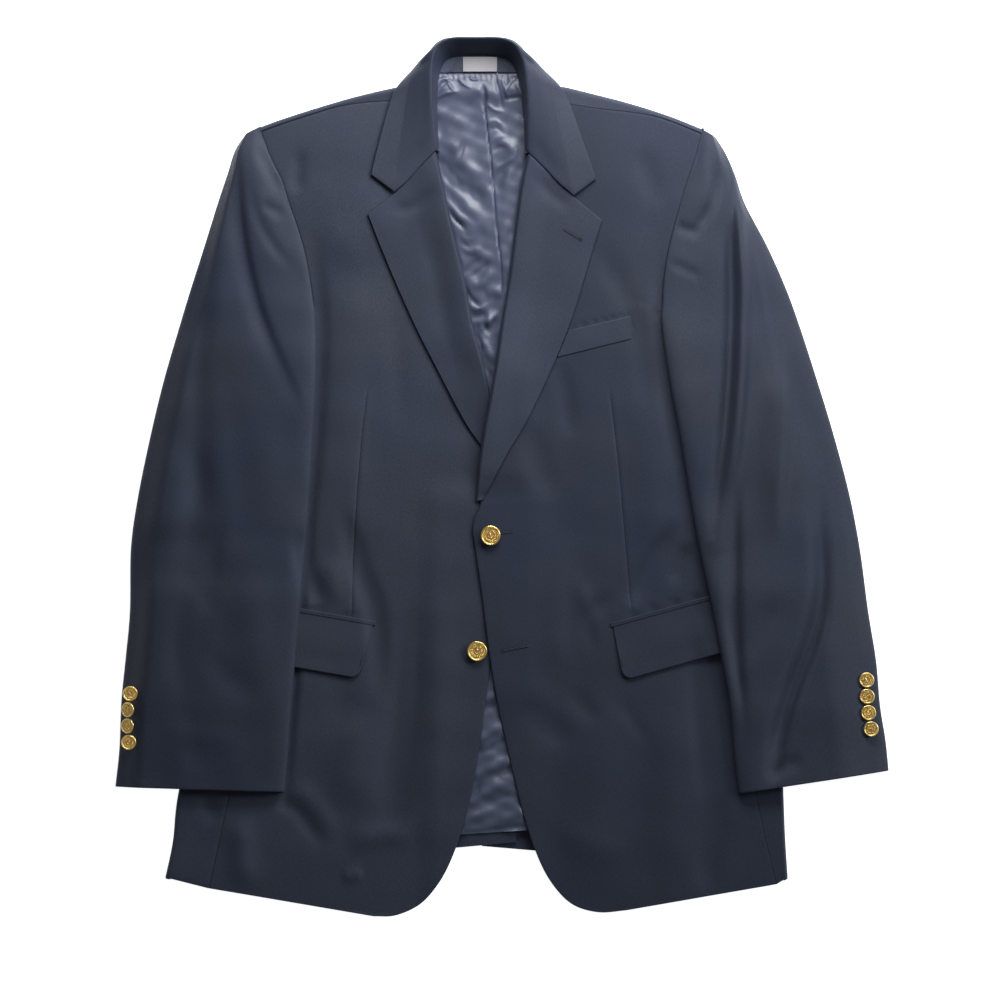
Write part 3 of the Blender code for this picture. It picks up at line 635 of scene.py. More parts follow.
worsted = wovenMaterial("navy worsted", worstedLook)
# painted light: a lighter copy of the worsted, for the facing and under sleeves, that lifts the shade falling
# on them
worstedPaintedLighter = wovenMaterial("navy worsted painted lighter for shade", worstedLook, worstedLook["facing"])
# painted sheen: the left lapel's own lighter copy of the worsted
lapelWorstedPaintedSheen = (worsted, wovenMaterial("navy worsted lapel painted sheen", worstedLook, worstedLook["lapel"]))
satin = satinMaterial("lining satin", satinLook)
labelCloth = labelMaterial("blank label", labelLook)
brass = brassMaterial("gilt brass", brassLook["deep"], brassLook["bright"], brassLook["roughness"])
groundRoughness = brassLook["roughness"] + brassLook["groundRougher"]
brassGround = brassMaterial("gilt brass ground", brassLook["ground"], brassLook["deep"], groundRoughness)
holeThread = threadMaterial("buttonhole thread", threadLook, threadLook["cord"])
# painted shade: a near-black copy of the thread for the buttonhole slits
slitPaintedShade = threadMaterial("buttonhole slit painted shade", threadLook, threadLook["slit"])
print("finishes ready")

frontCut = {
    "rows": 210,
    "columns": 74,
    # down at the side seam, then across and down at the front edge, from the hem up
    "sections": (
        (
            (888, 374, 916), (882, 396, 915), (870, 420, 904), (852, 438, 884), (832, 451, 860),
            (805, 462, 829), (772, 471, 794), (730, 480, 743), (690, 486, 698), (640, 493, 650),
            (595, 502, 600), (545, 508, 550), (495, 506, 500), (445, 497, 450), (400, 487, 395),
            (358, 478.5, 357), (335, 468.5, 320), (310, 461.5, 280), (268, 449.5, 231), (228, 440.5, 187),
            (184, 432.5, 150), (158, 429, 118), (127, 425, 98),
        ),
        (
            (884, 626, 910), (878, 599, 912), (866, 574, 905), (850, 555.5, 888), (832, 540, 862),
            (805, 525, 820), (772, 514, 777), (730, 505, 737), (690, 496.5, 698), (645, 489, 650),
            (595, 482, 595), (550, 476, 553), (522, 473, 526), (500, 480.5, 504), (478, 482, 478),
            (440, 487.5, 438), (400, 494, 394), (358, 501.5, 350), (335, 507.5, 305), (310, 514.5, 262),
            (268, 523, 205), (222, 532, 152), (165, 535, 120), (129.5, 545, 101),
        ),
    ),
    "folds": (
        (
            (26, 1.1, (352, 262), (356, 340), (354, 420), (348, 520)),
            (9, -2.0, (351, 520), (364, 568), (380, 612), (385, 680)),
            (20, 0.9, (441, 590), (435, 720), (421, 825)), (15, -1.5, (420, 610), (409, 733), (396, 830)),
            (11, 0.8, (294, 786), (314, 805), (336, 836)), (7, -0.7, (284, 798), (304, 814), (324, 842)),
            (13, 1.3, (245, 885), (240, 820)), (22, 1.3, (350, 715), (352, 800)),
            (12, 1.0, (350, 840), (378, 835), (408, 832)), (7, 0.6, (343, 877), (362, 873)),
            (8, -1.9, (304, 530), (312, 570), (326, 604)), (26, 0.9, (395, 210), (330, 250)),
            (7, -0.9, (305, 153), (300, 192)), (18, -0.4, (376, 330), (381, 500)),
            (12, -0.5, (402, 300), (408, 420)), (7, -0.8, (206, 798), (222, 818)),
            (8, 0.6, (330, 560), (338, 604)), (16, -0.5, (348, 660), (352, 760)),
        ),
        (
            (14, 1.1, (566, 548), (556, 612), (557, 672)), (9, 0.8, (577, 578), (590, 617), (592, 655)),
            (7, -1.1, (613, 597), (594, 617), (597, 652)), (8, -1.9, (676, 530), (655, 568), (637, 601)),
            (8, -1.0, (692, 546), (678, 582)), (11, -1.7, (723, 798), (716, 840), (712, 884)),
            (26, 1.4, (600, 700), (592, 885)), (22, 1.2, (650, 390), (655, 560)),
            (20, 1.0, (672, 700), (668, 880)), (11, -0.8, (531, 705), (552, 724), (575, 742)),
            (9, -0.7, (577, 690), (601, 722)), (15, 0.6, (555, 822), (590, 846), (625, 852)),
            (11, -0.6, (650, 150), (655, 175), (664, 204)),
            (12, -0.7, (606, 250), (633, 297), (647, 343), (653, 412)), (8, -0.9, (566, 368), (575, 432)),
            (12, -0.8, (529, 425), (543, 458), (559, 495)), (10, -1.4, (700, 640), (706, 720), (712, 800)),
            (8, -0.4, (626, 700), (650, 742)),
        ),
    ),
    # the groove that a flap's jetting is sewn in, and the one round the breast pocket's welt
    "pocketMouth": (
        ((1.4, -2.0, (376.6, 621.3), (340, 615), (300, 608), (250, 599.5)),),
        (
            (1.4, -2.0, (612.2, 623.1), (650, 612.4), (700, 598.6), (760, 582)),
            (1.2, -1.3, (567.6, 329.8), (631.6, 315.2)), (1.2, -1.3, (631.6, 315.2), (632.4, 339.6)),
        ),
    ),
    # where a front dips beside the sleeve that lies on it
    "besideSleeve": (
        (
            (9, -4.0, (320, 258), (323, 310), (323, 360), (320, 420), (315, 480), (310, 540)),
            (
                4, -4.4, (321, 370), (317.3, 436), (312.5, 500), (308.5, 552), (303, 610), (298.5, 660),
                (294.5, 705), (291, 750), (287.5, 800),
            ),
        ),
        (
            (6, -1.4, (663, 250), (661, 300), (663, 350), (670, 400), (680, 450), (690, 500), (700, 560)),
            (7, -1.8, (697, 540), (709, 600), (718, 650), (726, 700), (733, 745), (738, 800)),
            (13, -2.4, (718, 640), (724, 700), (728, 750), (726, 850)),
        ),
    ),
    "uneven": {"seed": 3, "size": 0.3, "shortest": 50, "longest": 170},
    "relief": 2.2,
    "deepest": -3.0,
    "overLining": 1.5,  # less deep where the lining lies under it
    "liningAcross": (394, 412, 584, 600),
    "darts": (
        (
            (372, 130), (367, 392), (362, 430), (358.6, 472), (355.4, 516), (353, 560), (352, 610.5),
            (318, 900),
        ),
        ((606, 130), (609.5, 392), (618, 463), (624, 530), (630, 600), (676, 900)),
    ),
    "dartAt": (0.40, 0.47),
    "dartTries": 6,
    "dartColumns": (-1.3, -0.7, -0.3, 0.0, 0.3, 0.7, 1.3),
    "dartDown": ((388, 404, 612, 618), (388, 404, 602, 608)),
    "dartDepth": 0.42,
    "dartWidth": 0.9,
    "dartRidge": {"share": 0.6, "beside": 2.4, "width": 1.8},
    "shoulderRows": (0.86, 1.0),  # share of the rows over which it bends to the shoulder seam
    "seamGap": 0.1,
    "seamRoll": 0.45,
    "seamTuck": 1.6,
    "edgeRoll": 0.75,
}


def frontTop(side, across, down, dips=0.0):
    # height of a front's upper face
    height = stack["frontTop"] + stack["shoulderRise"] * ramp(down, *stack["shoulderFade"])
    height = height + stack["ventRise"] * zone(across, stack["ventAcross"]) * zone(down, stack["ventDown"])
    if side == left:
        lapped = zone(across, stack["lappedAcross"]) * zone(down, stack["lappedDown"])
        crossed = zone(across, stack["crossedAcross"]) * zone(down, stack["crossedDown"])
        height = height + stack["lap"] * lapped + stack["turned"] * crossed
    relief = folds(frontCut["folds"][side], across, down) * frontCut["relief"] + dips
    relief = relief + undulation(across, down, side, frontCut["uneven"])
    relief = relief * zone(down, stack["foldsBelow"])
    deepest = frontCut["deepest"] + frontCut["overLining"] * zone(across, frontCut["liningAcross"])
    return height + np.where(relief < 0, deepest * np.tanh(relief / deepest), relief)


def slideToEdge(side, seamName, across, down, gap):
    # each row starts this gap inside its side seam and armhole
    start = outerEdge(side, seamName, down[:, :1]) + gap * inward[side]
    share = (across - across[:, -1:]) / (across[:, :1] - across[:, -1:])
    return across + (start - across[:, :1]) * share


def dartShares(side, edges):
    # columns for each row: one follows the dart, with close ones beside it
    cut, columns = frontCut, frontCut["columns"]
    column = int(cut["dartAt"][side] * columns)
    path = np.array(cut["darts"][side])
    middle = np.full(len(edges), 0.5)
    for _ in range(cut["dartTries"]):
        down = edges[:, 1] + (edges[:, 3] - edges[:, 1]) * middle
        middle = (np.interp(down, path[:, 1], path[:, 0]) - edges[:, 0]) / (edges[:, 2] - edges[:, 0])
    middle = middle[:, None]
    near = middle + np.array([cut["dartColumns"]]) / np.abs(edges[:, 2:3] - edges[:, 0:1])
    before = np.linspace(0, 1, column + 1)[None, :-1] * near[:, :1]
    after = near[:, -1:] + (1 - near[:, -1:]) * np.linspace(0, 1, columns - column)[None, 1:]
    return np.hstack([before, near, after])


def frontGrid(side):
    # rows from the hem to the shoulder seam, which the last ones bend to
    rows = through(frontCut["sections"][side], frontCut["rows"])
    outer = outerEdge(side, "frontSideSeam", rows[:, 0])
    edges = np.column_stack([outer, rows])
    across, down = between(edges, dartShares(side, edges))
    seam = downAt(outlines["shoulder"][side], across) + downAt(outlines["seamBelowShoulder"][side], across)
    climb = rowRamp(rows, *frontCut["shoulderRows"])
    down = down + (seam + frontCut["seamGap"] - down[-1:, :]) * climb
    return slideToEdge(side, "frontSideSeam", across, down, frontCut["seamGap"]), down


def dartGroove(side, across, down):
    # the dart's seam, with a faint ridge beside it
    dart, ridge = np.array(frontCut["darts"][side]), frontCut["dartRidge"]
    aside = across - np.interp(down, dart[:, 1], dart[:, 0])
    groove = np.exp(-((aside / frontCut["dartWidth"]) ** 2))
    groove = groove - ridge["share"] * np.exp(-(((aside - ridge["beside"]) / ridge["width"]) ** 2))
    return frontCut["dartDepth"] * groove * zone(down, frontCut["dartDown"][side])


def makeFront(side, name):
    across, down = frontGrid(side)
    height = frontTop(side, across, down, folds(frontCut["besideSleeve"][side], across, down))
    height = height - dartGroove(side, across, down) + folds(frontCut["pocketMouth"][side], across, down)
    flat = np.dstack([across, down, height])
    points = rollEdge(flat, "start", frontCut["seamRoll"], frontCut["seamTuck"])
    points = rollEdges(points, end=frontCut["edgeRoll"], low=frontCut["edgeRoll"])
    points = rollEdge(points, "high", frontCut["seamRoll"], frontCut["seamTuck"])
    piece = cloth(name, points, walls["worsted"], worsted)
    laySheet(piece, flat, ["lining", f"back_{words[side]}"], "worsted", name)


sideCut = {
    "rows": 90,
    "bendColumns": 14,
    "leadColumns": 12,
    "leadTo": 0.94,  # share of the way from the front's seam to the bend
    "levelFrom": 0.5,
    "tailColumns": 10,
    "tailFrom": 0.12,
    "hemRoll": 0.5,
}


def makeSide(side, name):
    # from the front's seam to the edge, round it, and back under the garment
    cut = sideCut
    downs = np.linspace(0, 1, cut["rows"])[:, None]
    lines = []
    for outline in ("frontSideSeam", "sideEdge", "backSideSeam"):
        rows = outlines[outline][side]
        down = rows[0][1] + (rows[-1][1] - rows[0][1]) * downs
        lines.append((acrossAt(rows, down), down))
    (topAcross, topDown), (edgeAcross, edgeDown), (footAcross, footDown) = lines
    height = frontTop(side, topAcross, topDown)
    topAcross = topAcross - frontCut["seamGap"] * inward[side]
    footAcross = footAcross - stack["seam"] / 2 * inward[side]
    radius = height / 2
    turn = np.linspace(math.pi / 2, -math.pi / 2, cut["bendColumns"])[None, :]
    bendAcross = edgeAcross + inward[side] * radius * (1 - np.cos(turn))
    bendDown = edgeDown + (topDown - edgeDown) * (bendAcross - edgeAcross) / (topAcross - edgeAcross)
    bendHeight = radius + radius * np.sin(turn)
    lead = np.linspace(0, cut["leadTo"], cut["leadColumns"])[None, :]
    leadAcross = topAcross + (bendAcross[:, :1] - topAcross) * lead
    leadDown = topDown + (bendDown[:, :1] - topDown) * lead
    drift = frontTop(side, leadAcross, leadDown) - height
    leadHeight = height + drift * ramp(lead, cut["leadTo"], cut["levelFrom"])
    tail = np.linspace(cut["tailFrom"], 1.0, cut["tailColumns"])[None, :]
    tailAcross = bendAcross[:, -1:] + (footAcross - bendAcross[:, -1:]) * tail
    tailDown = bendDown[:, -1:] + (footDown - bendDown[:, -1:]) * tail
    across = np.hstack([leadAcross, bendAcross, tailAcross])
    down = np.hstack([leadDown, bendDown, tailDown])
    rise = np.hstack([leadHeight, bendHeight, np.zeros(tailAcross.shape)])
    flat = np.dstack([across, down, rise])
    piece = gridMesh(name, rollEdges(flat, start=frontCut["seamRoll"], high=cut["hemRoll"]))
    # its rows run round the edge, so which way is out is found from its middle
    centre = sum((vertex.co for vertex in piece.data.vertices), start=Vector()) / len(piece.data.vertices)
    away = sum(face.normal.dot(face.center - centre) * face.area for face in piece.data.polygons)
    if away < 0:
        piece.data.flip_normals()
    backWith(piece, walls["worsted"], worsted)
    laySheet(piece, flat, [], "worsted", name)


backCut = {
    # down at the side seam, then across and down at the centre back, from the hem up
    "sections": (
        (
            (868, 516, 842), (790, 516, 780), (700, 516, 690), (620, 515, 602), (575, 497, 556),
            (500, 497, 495), (430, 497, 420), (354, 497, 345), (310, 497, 290), (240, 497, 210),
            (180, 497, 140), (128, 497, 58.5),
        ),
        (
            (868, 482, 846), (790, 482, 780), (700, 482, 690), (645, 483, 637), (580, 497.6, 575),
            (500, 497.6, 495), (430, 497.6, 420), (354, 497.6, 345), (310, 497.6, 290), (240, 497.6, 210),
            (180, 497.6, 140), (130, 497.6, 58.5),
        ),
    ),
    "rows": 70,
    "columns": 44,
    "edgeGap": -0.3,
    "shoulderRows": (0.72, 1.0),
    "neck": (2.0, -18.0),  # from the neck point, where the shoulder's fold fades in
    "bend": 4.0,  # how far the shoulder's fold reaches over the back
    "bendRows": 18,
    "leastTurned": 0.2,
    "lead": 8.0,  # how far below the shoulder its last rows start
    "seamRoll": 0.45,
    "ventAcross": (440, 468),
    "ventDown": (505, 545),
}


def makeBack(side, name):
    # on the surface, turned up over the shoulder as far as the shoulder seam
    cut = backCut
    rows = through(cut["sections"][side], cut["rows"])
    outer = outerEdge(side, "backSideSeam", rows[:, 0])
    across, down = between(np.column_stack([outer, rows]), np.linspace(0, 1, cut["columns"]))
    top = downAt(outlines["shoulder"][side], across)
    climb = rowRamp(rows, *cut["shoulderRows"])
    down = down + (top - down[-1:, :]) * climb
    across = slideToEdge(side, "backSideSeam", across, down, cut["edgeGap"])
    neckward = (across[-1:, :] - outlines["neckPoint"][side]) * inward[side]
    turned = ramp(neckward, *cut["neck"])  # 1 along the shoulder, 0 in the neck
    seam = downAt(outlines["seamBelowShoulder"][side], across[-1:, :])
    height = frontTop(side, across[-1:, :], top[-1:, :] + seam)
    bend, lead = cut["bend"], cut["lead"]
    straight = np.maximum(seam - bend, cut["leastTurned"])
    bent = math.pi / 2 * (bend + height / 2)
    steps = np.linspace(0, 1, cut["bendRows"])[:, None]
    gone = steps * (bent + straight) / bent
    angle = -math.pi / 2 + math.pi * np.minimum(gone, 1.0)
    past = np.maximum(gone - 1.0, 0.0) * bent
    wrapDown = top[-1:, :] + bend - bend * np.cos(angle) + past
    wrapHeight = height / 2 * (1 + np.sin(angle))
    plainDown = top[-1:, :] + lead * (1 - steps)
    turnedDown = plainDown + (wrapDown - plainDown) * turned
    start = top[-1:, :] + lead + (bend - lead) * turned
    down = down + (start - down[-1:, :]) * climb
    lift = np.zeros(across.shape)
    if side == right:
        lift = stack["ventLift"] * zone(across, cut["ventAcross"]) * zone(down, cut["ventDown"])
    across = np.vstack([across, np.repeat(across[-1:, :], len(steps) - 1, axis=0)])
    down = np.vstack([down, turnedDown[1:]])
    flat = np.dstack([across, down, np.vstack([lift, (wrapHeight * turned)[1:]])])
    piece = cloth(name, rollEdges(flat, high=cut["seamRoll"]), walls["worsted"], worsted, faceUp=False)
    laySheet(piece, flat, [], "worsted", name)


liningCut = {
    # across and down at the left of the layout, then at the right, from the neck down
    "sections": (
        (438, 73.8, 522, 73.8), (427, 90, 534, 90), (417, 150, 545, 150), (410, 250, 560, 250),
        (405, 350, 575, 350), (400, 450, 590, 450), (400, 560, 590, 560), (400, 660, 590, 660),
        (400, 760, 590, 760), (400, 838, 590, 826),
    ),
    "rows": 370,
    "columns": 126,
    "ventAcross": (424, 440, 524, 544),
    "ventDown": (480, 505),
    # the opening's edges, between which the satin stands up
    "openUpper": (
        (
            (434, 70), (432.5, 104), (437, 150), (445, 187), (454, 231), (466, 280), (473, 320), (483, 357),
            (490.6, 395),
        ),
        ((524, 70), (528, 104), (525, 150), (517, 202), (511, 259), (504, 300), (497, 348), (490.6, 394)),
    ),
    "openLower": (
        ((490, 664), (486, 698), (480, 743), (471, 794), (462, 831), (457, 846)),
        ((490, 664), (496, 698), (507, 747), (517, 791), (528, 835), (532, 846)),
    ),
    "upperEnds": (398, 372),
    "lowerStarts": (664, 700),
    "neckFade": (74, 80),
    "underEdge": 3.4,  # how far under an edge it begins to stand up
    "pastEdge": 1.2,
    "raised": 1.3,
    "least": 0.7,
    "uneven": {"seed": 11, "size": 0.45, "shortest": 12, "longest": 40},
    "gathers": {"height": 0.35, "across": 1.15, "down": 77.5, "width": 2.2},
    "neckRoll": 0.45,
    "backing": 0.4,  # share of the satin's wall
    # half width, height and path of each fold: broad ones, the pleat down the middle, small ones, and
    # those of the lower opening
    "broad": (
        (9, 3.4, (430, 90), (452, 91), (478, 92), (500, 92), (528, 90)),
        (7, 1.4, (433, 108), (448, 114), (466, 128)), (8, 2.4, (446, 135), (462, 160), (482, 182)),
        (6, -2.6, (438, 156), (451, 174), (465, 190), (490, 203)),
        (5, -1.6, (444, 186), (455, 199), (468, 206)), (8, 1.8, (458, 188), (474, 214), (492, 232)),
        (5, 1.6, (452, 214), (464, 224), (480, 236)), (6, 1.8, (516, 128), (508, 168), (506, 214)),
        (4, -2.2, (492, 189), (500, 178), (513, 164)), (5, 1.5, (497, 140), (508, 146), (518, 156)),
        (7, 1.6, (505, 210), (503, 240), (504, 270)), (6, 1.6, (470, 244), (482, 254), (494, 260)),
        (5, 2.0, (468, 284), (481, 284), (494, 268)), (5, 1.8, (486, 294), (494, 292), (501, 296)),
        (5, 2.2, (477, 325), (485, 320), (492, 319)), (4, 2.0, (481, 342), (487, 348), (492, 362)),
        (7, -1.4, (462, 150), (468, 152)), (6, -1.4, (436, 118), (442, 126), (449, 134)),
    ),
    "pleat": (
        (482.5, 100), (485, 118), (487.5, 140), (490, 160), (492, 183), (494, 205), (497, 240), (500, 262),
        (502, 294),
    ),
    "pleatDown": (98, 112, 286, 300),
    "pleatStep": {"height": 0.9, "edge": (0.5, -0.5), "back": (-16, -2)},
    "pleatShadow": {"depth": 1.3, "beside": 0.9, "width": 0.9},
    "small": (
        (1.9, 1.6, (433, 93), (439, 82), (447, 77)), (1.6, 1.3, (446, 77), (450, 86), (455, 92)),
        (1.6, -1.5, (438, 92), (445, 84), (451, 80)), (1.8, 1.1, (436, 99), (446, 94), (458, 92)),
        (1.5, 1.2, (458, 78), (463, 84), (470, 88)), (2.0, -1.6, (496, 77), (500, 92), (503, 107)),
        (1.8, 1.5, (502, 78), (505, 90), (508, 99)), (1.7, 1.3, (513, 79), (508, 86), (505, 94)),
        (2.2, -2.6, (484, 86), (486, 96), (485, 108)), (1.7, 1.3, (516, 84), (520, 92), (523, 100)),
        (2.0, -1.2, (505, 100), (514, 98), (523, 97)), (1.4, 1.0, (468, 76), (474, 80), (480, 78)),
        (2.2, -3.0, (448, 209), (457, 220), (467, 229)), (2.2, 1.2, (449, 204), (460, 215), (475, 226)),
        (1.7, 0.9, (460, 236), (468, 240), (476, 236)), (1.7, -0.9, (462, 243), (470, 247), (479, 243)),
        (1.6, 0.9, (463, 249), (472, 252), (480, 249)), (2.4, -2.4, (461, 279), (469, 270), (481, 260)),
        (1.8, -1.2, (472, 277), (482, 270), (490, 262)), (2.2, -2.6, (466, 288), (472, 299), (481, 306)),
        (3.0, -3.4, (473, 317), (480, 317), (490, 314)), (2.8, -3.2, (484, 324), (492, 330), (498, 320)),
        (2.0, 1.4, (472, 309), (480, 309), (492, 303)), (2.0, 1.6, (478, 332), (486, 325), (498, 312)),
        (1.8, -1.6, (477, 334), (481, 342), (483, 352)), (2.0, -1.4, (486, 366), (491, 374), (492, 384)),
        (1.6, 1.0, (487, 124), (495, 121), (503, 126)), (1.6, -0.9, (489, 130), (497, 128), (504, 133)),
        (1.6, 1.1, (490, 146), (497, 138), (506, 136)),
        (1.6, 1.2, (494, 170), (504, 164), (514, 158), (517, 150)),
        (1.8, -1.0, (492, 152), (500, 148), (508, 148)), (1.8, 1.1, (487, 104), (494, 110), (503, 112)),
    ),
    "lower": (
        (3.4, 1.9, (482, 704), (489, 697), (497, 694)), (2.6, -2.0, (482, 714), (490, 707), (500, 704)),
        (4.6, 2.4, (474, 744), (488, 734), (506, 722)), (3.0, -2.2, (484, 754), (497, 746), (510, 738)),
        (5.0, 2.4, (474, 776), (490, 768), (512, 757)), (3.4, -2.4, (468, 763), (476, 755), (486, 748)),
        (4.0, -2.2, (496, 777), (506, 772), (516, 769)), (5.0, 2.0, (468, 806), (486, 792), (514, 780)),
        (3.0, -2.6, (464, 803), (472, 796), (482, 786)), (4.6, 2.2, (460, 824), (474, 816), (492, 811)),
        (4.4, -1.6, (488, 806), (504, 798), (520, 794)), (5.0, 1.6, (496, 822), (512, 816), (528, 810)),
        (3.0, -1.8, (460, 835), (492, 831), (532, 825)),
    ),
}


def liningFoot(across, down):
    # height of the lining's lower face
    lapped = zone(across, liningCut["ventAcross"]) * zone(down, liningCut["ventDown"])
    return stack["liningFoot"] + stack["ventLift"] * lapped


def pleatRelief(across, down):
    # down the satin's middle: a step with a shadow on its right
    step, shadow = liningCut["pleatStep"], liningCut["pleatShadow"]
    aside = across - acrossAt(liningCut["pleat"], down)
    raised = step["height"] * ramp(aside, *step["edge"]) * ramp(aside, *step["back"])
    sunk = shadow["depth"] * np.exp(-(((aside - shadow["beside"]) / shadow["width"]) ** 2))
    return (raised - sunk) * zone(down, liningCut["pleatDown"])


def openShare(edges, across, down):
    # 1 inside an opening between the fronts, 0 under them
    under, past = liningCut["underEdge"], liningCut["pastEdge"]
    first, last = (acrossAt(edge, down) for edge in edges)
    return ramp(across, first - under, first + past) * ramp(across, last + under, last - past)


def makeLining():
    cut, gathers = liningCut, liningCut["gathers"]
    across, down = between(through(cut["sections"], cut["rows"]), np.linspace(0, 1, cut["columns"]))
    upper = openShare(cut["openUpper"], across, down) * ramp(down, *cut["upperEnds"])
    lower = openShare(cut["openLower"], across, down) * ramp(down, *cut["lowerStarts"])
    foot = liningFoot(across, down)
    relief = cut["raised"] + folds(cut["broad"] + cut["small"] + cut["lower"], across, down)
    relief = relief + undulation(across, down, 0, cut["uneven"]) + pleatRelief(across, down)
    relief = relief * (upper + lower) * ramp(down, *cut["neckFade"])
    gathered = gathers["height"] * np.sin(across * gathers["across"]) * upper
    gathered = gathered * np.exp(-(((down - gathers["down"]) / gathers["width"]) ** 2))
    height = np.maximum(foot + walls["satin"] + relief, foot + cut["least"]) + gathered
    flat = np.dstack([across, down, height])
    piece = cloth("lining", rollEdges(flat, low=cut["neckRoll"]), walls["satin"] * cut["backing"], satin)
    laySheet(piece, flat, ["back_right", "back_left"], "satin", "lining")


neckCut = {
    "facing": (
        (438.5, 73.3, 521.5, 73.3), (440.5, 68, 518.5, 68), (445, 60, 513.5, 60), (452, 54.0, 505, 54.0),
    ),
    "patch": ((448, 72.6, 513, 72.6), (457.5, 58.6, 501, 58.6)),
    "label": ((463, 72.0, 497, 72.0), (463, 57.2, 497, 57.2)),
    "rows": {"facing": 14, "patch": 10, "label": 24},
    "columns": {"facing": 40, "patch": 40, "label": 48},
    "patchWall": 0.35,
    "patchRise": 0.1,
    "labelWall": 0.5,
    "labelRise": 0.15,
    "labelBulge": 0.35,
    "facingRoll": 0.7,
    "edgeRoll": 0.3,
}


def neckPiece(word, height, wall, material, restsOn, *nodes, **radii):
    # a small flat piece inside the back neck
    across, down = between(
        through(neckCut[word], neckCut["rows"][word]), np.linspace(0, 1, neckCut["columns"][word])
    )
    flat = np.dstack([across, down, np.broadcast_to(height, across.shape)])
    piece = cloth(f"neck_{word}", rollEdges(flat, **radii), wall, material)
    laySheet(piece, flat, restsOn, "label" if word == "label" else "worsted", *nodes)


def makeNeck():
    # the facing, and the blank label on its patch
    cut = neckCut
    top = stack["liningFoot"] + walls["worsted"]
    around = dict.fromkeys(("low", "high", "start", "end"), cut["edgeRoll"])
    backs = ["back_right", "back_left"]
    # its worsted is painted lighter, to lift the shade inside the neck
    neckPiece("facing", top, walls["worsted"], worstedPaintedLighter, backs, "neck_facing", low=cut["facingRoll"])
    height = top + cut["patchWall"] + cut["patchRise"]
    neckPiece("patch", height, cut["patchWall"], worsted, ["neck_facing"], **around)
    bulge = cut["labelBulge"] * np.sin(math.pi * np.linspace(0, 1, cut["columns"]["label"]))[None, :]
    height = top + stack["seam"] + walls["label"] + cut["labelRise"] + bulge
    neckPiece("label", height, cut["labelWall"], labelCloth, ["neck_patch_cloth"], "neck_label", **around)


lapelCut = {
    # across and down of the roll line, then of the edge, from the gorge down
    "sections": (
        (
            (436, 151.9, 368, 214.8), (444, 187, 379, 243), (453, 231, 391, 272), (465, 280, 405, 304),
            (472, 320, 419, 334), (482, 357, 434, 363), (490.6, 395, 450, 394), (496, 425, 467, 425),
            (500, 455, 486, 452),
        ),
        (
            (528, 153.7, 602, 220.8), (521, 187, 594, 246), (515, 231, 586, 273), (509.5, 275, 577, 303),
            (502, 320, 566, 334), (496.5, 357, 555, 361), (490.6, 394, 541, 392), (484, 430, 525, 424),
            (480, 457, 508, 452), (477.5, 482, 493, 480), (476, 501, 483, 500),
        ),
    ),
    "folds": (
        ((12, -0.9, (438, 227), (447, 290), (455, 343)), (6, -1.0, (398, 212), (420, 206), (438, 190))),
        ((7, -1.0, (540, 177), (556, 195), (573, 207)), (14, -0.5, (560, 260), (540, 330))),
    ),
    "gorgeBend": ((0.64, 2.3, 1.5), (0.61, 0.3, 2.0)),  # share of the width, then across and down
    "gorgeRows": (0.15, 0.0),
    "rollRise": 2.6,
    "rollDepth": 3.2,
    "rollShare": 0.3,  # of a narrow row's width, at most
    "rollFade": (30, 3),
    "rollWidth": (12, 40),
    "rollEnds": (396, 350),
    "footFade": {"share": 0.55, "rows": (0.93, 1.0)},  # the left one flattens at its foot
    "crossedDown": (366, 384),
    "rows": 110,
    "turnSteps": 13,
    "columns": 54,
    "columnPower": 1.25,
    "edgeRoll": 0.95,
    "endRoll": 0.5,
}


def lapelShares(width):
    # columns for each row: under the roll and over it, then out to the edge
    cut = lapelCut
    begin = np.minimum(cut["rollDepth"], cut["rollShare"] * width) / width
    spread = np.linspace(0, 1, cut["columns"])[None, 1:]
    turn = np.linspace(-math.pi / 2, math.pi / 2, cut["turnSteps"])[None, :]
    outward = begin + (1 - begin) * (1 - (1 - spread) ** cut["columnPower"])
    return np.hstack([begin * (1 - np.cos(turn)), outward]), turn


def makeLapel(side, name):
    # from under its roll, over it, and out on the front as far as its edge
    cut = lapelCut
    edges = through(cut["sections"][side], cut["rows"])
    shares, turn = lapelShares(np.hypot(edges[:, 2] - edges[:, 0], edges[:, 3] - edges[:, 1])[:, None])
    across = edges[:, :1] + (edges[:, 2:3] - edges[:, :1]) * shares
    down = edges[:, 1:2] + (edges[:, 3:4] - edges[:, 1:2]) * shares
    where, bendAcross, bendDown = cut["gorgeBend"][side]
    tent = np.minimum(shares / where, (1 - shares) / (1 - where)) * rowRamp(edges, *cut["gorgeRows"])
    across = across + inward[side] * bendAcross * tent
    down = down + bendDown * tent
    fromRoll = np.abs(across - edges[:, :1])
    level = np.abs(edges[:, 2:3] - edges[:, :1])
    roll = cut["rollRise"] * ramp(level, *cut["rollWidth"]) * ramp(fromRoll, *cut["rollFade"])
    flattened = 0.0
    if side == right:
        roll = roll * ramp(down, *cut["rollEnds"])
    else:
        flattened = cut["footFade"]["share"] * rowRamp(edges, *cut["footFade"]["rows"])
    height = frontTop(side, across, down) + stack["turned"] * (1 - flattened) + roll
    height = height + folds(cut["folds"][side], across, down)
    foot = liningFoot(across[:, :1], down[:, :1]) + walls["satin"] + stack["rest"]
    if side == left:
        under = frontTop(side, across[:, :1], down[:, :1]) - walls["worsted"]
        foot = foot + (under - foot) * ramp(down[:, :1], *cut["crossedDown"])
    steps = cut["turnSteps"]
    crest = height[:, steps - 1 : steps]
    height[:, :steps] = foot + (crest - foot) * (1 + np.sin(turn)) / 2
    flat = np.dstack([across, down, height])
    points = rollEdges(flat, end=cut["edgeRoll"], low=cut["endRoll"], high=cut["endRoll"])
    # the left lapel's worsted has a painted sheen, lighter than the right's
    piece = cloth(name, points, walls["doubled"], lapelWorstedPaintedSheen[side])
    laySheet(piece, flat, [f"front_{words[side]}"], "worsted", name)


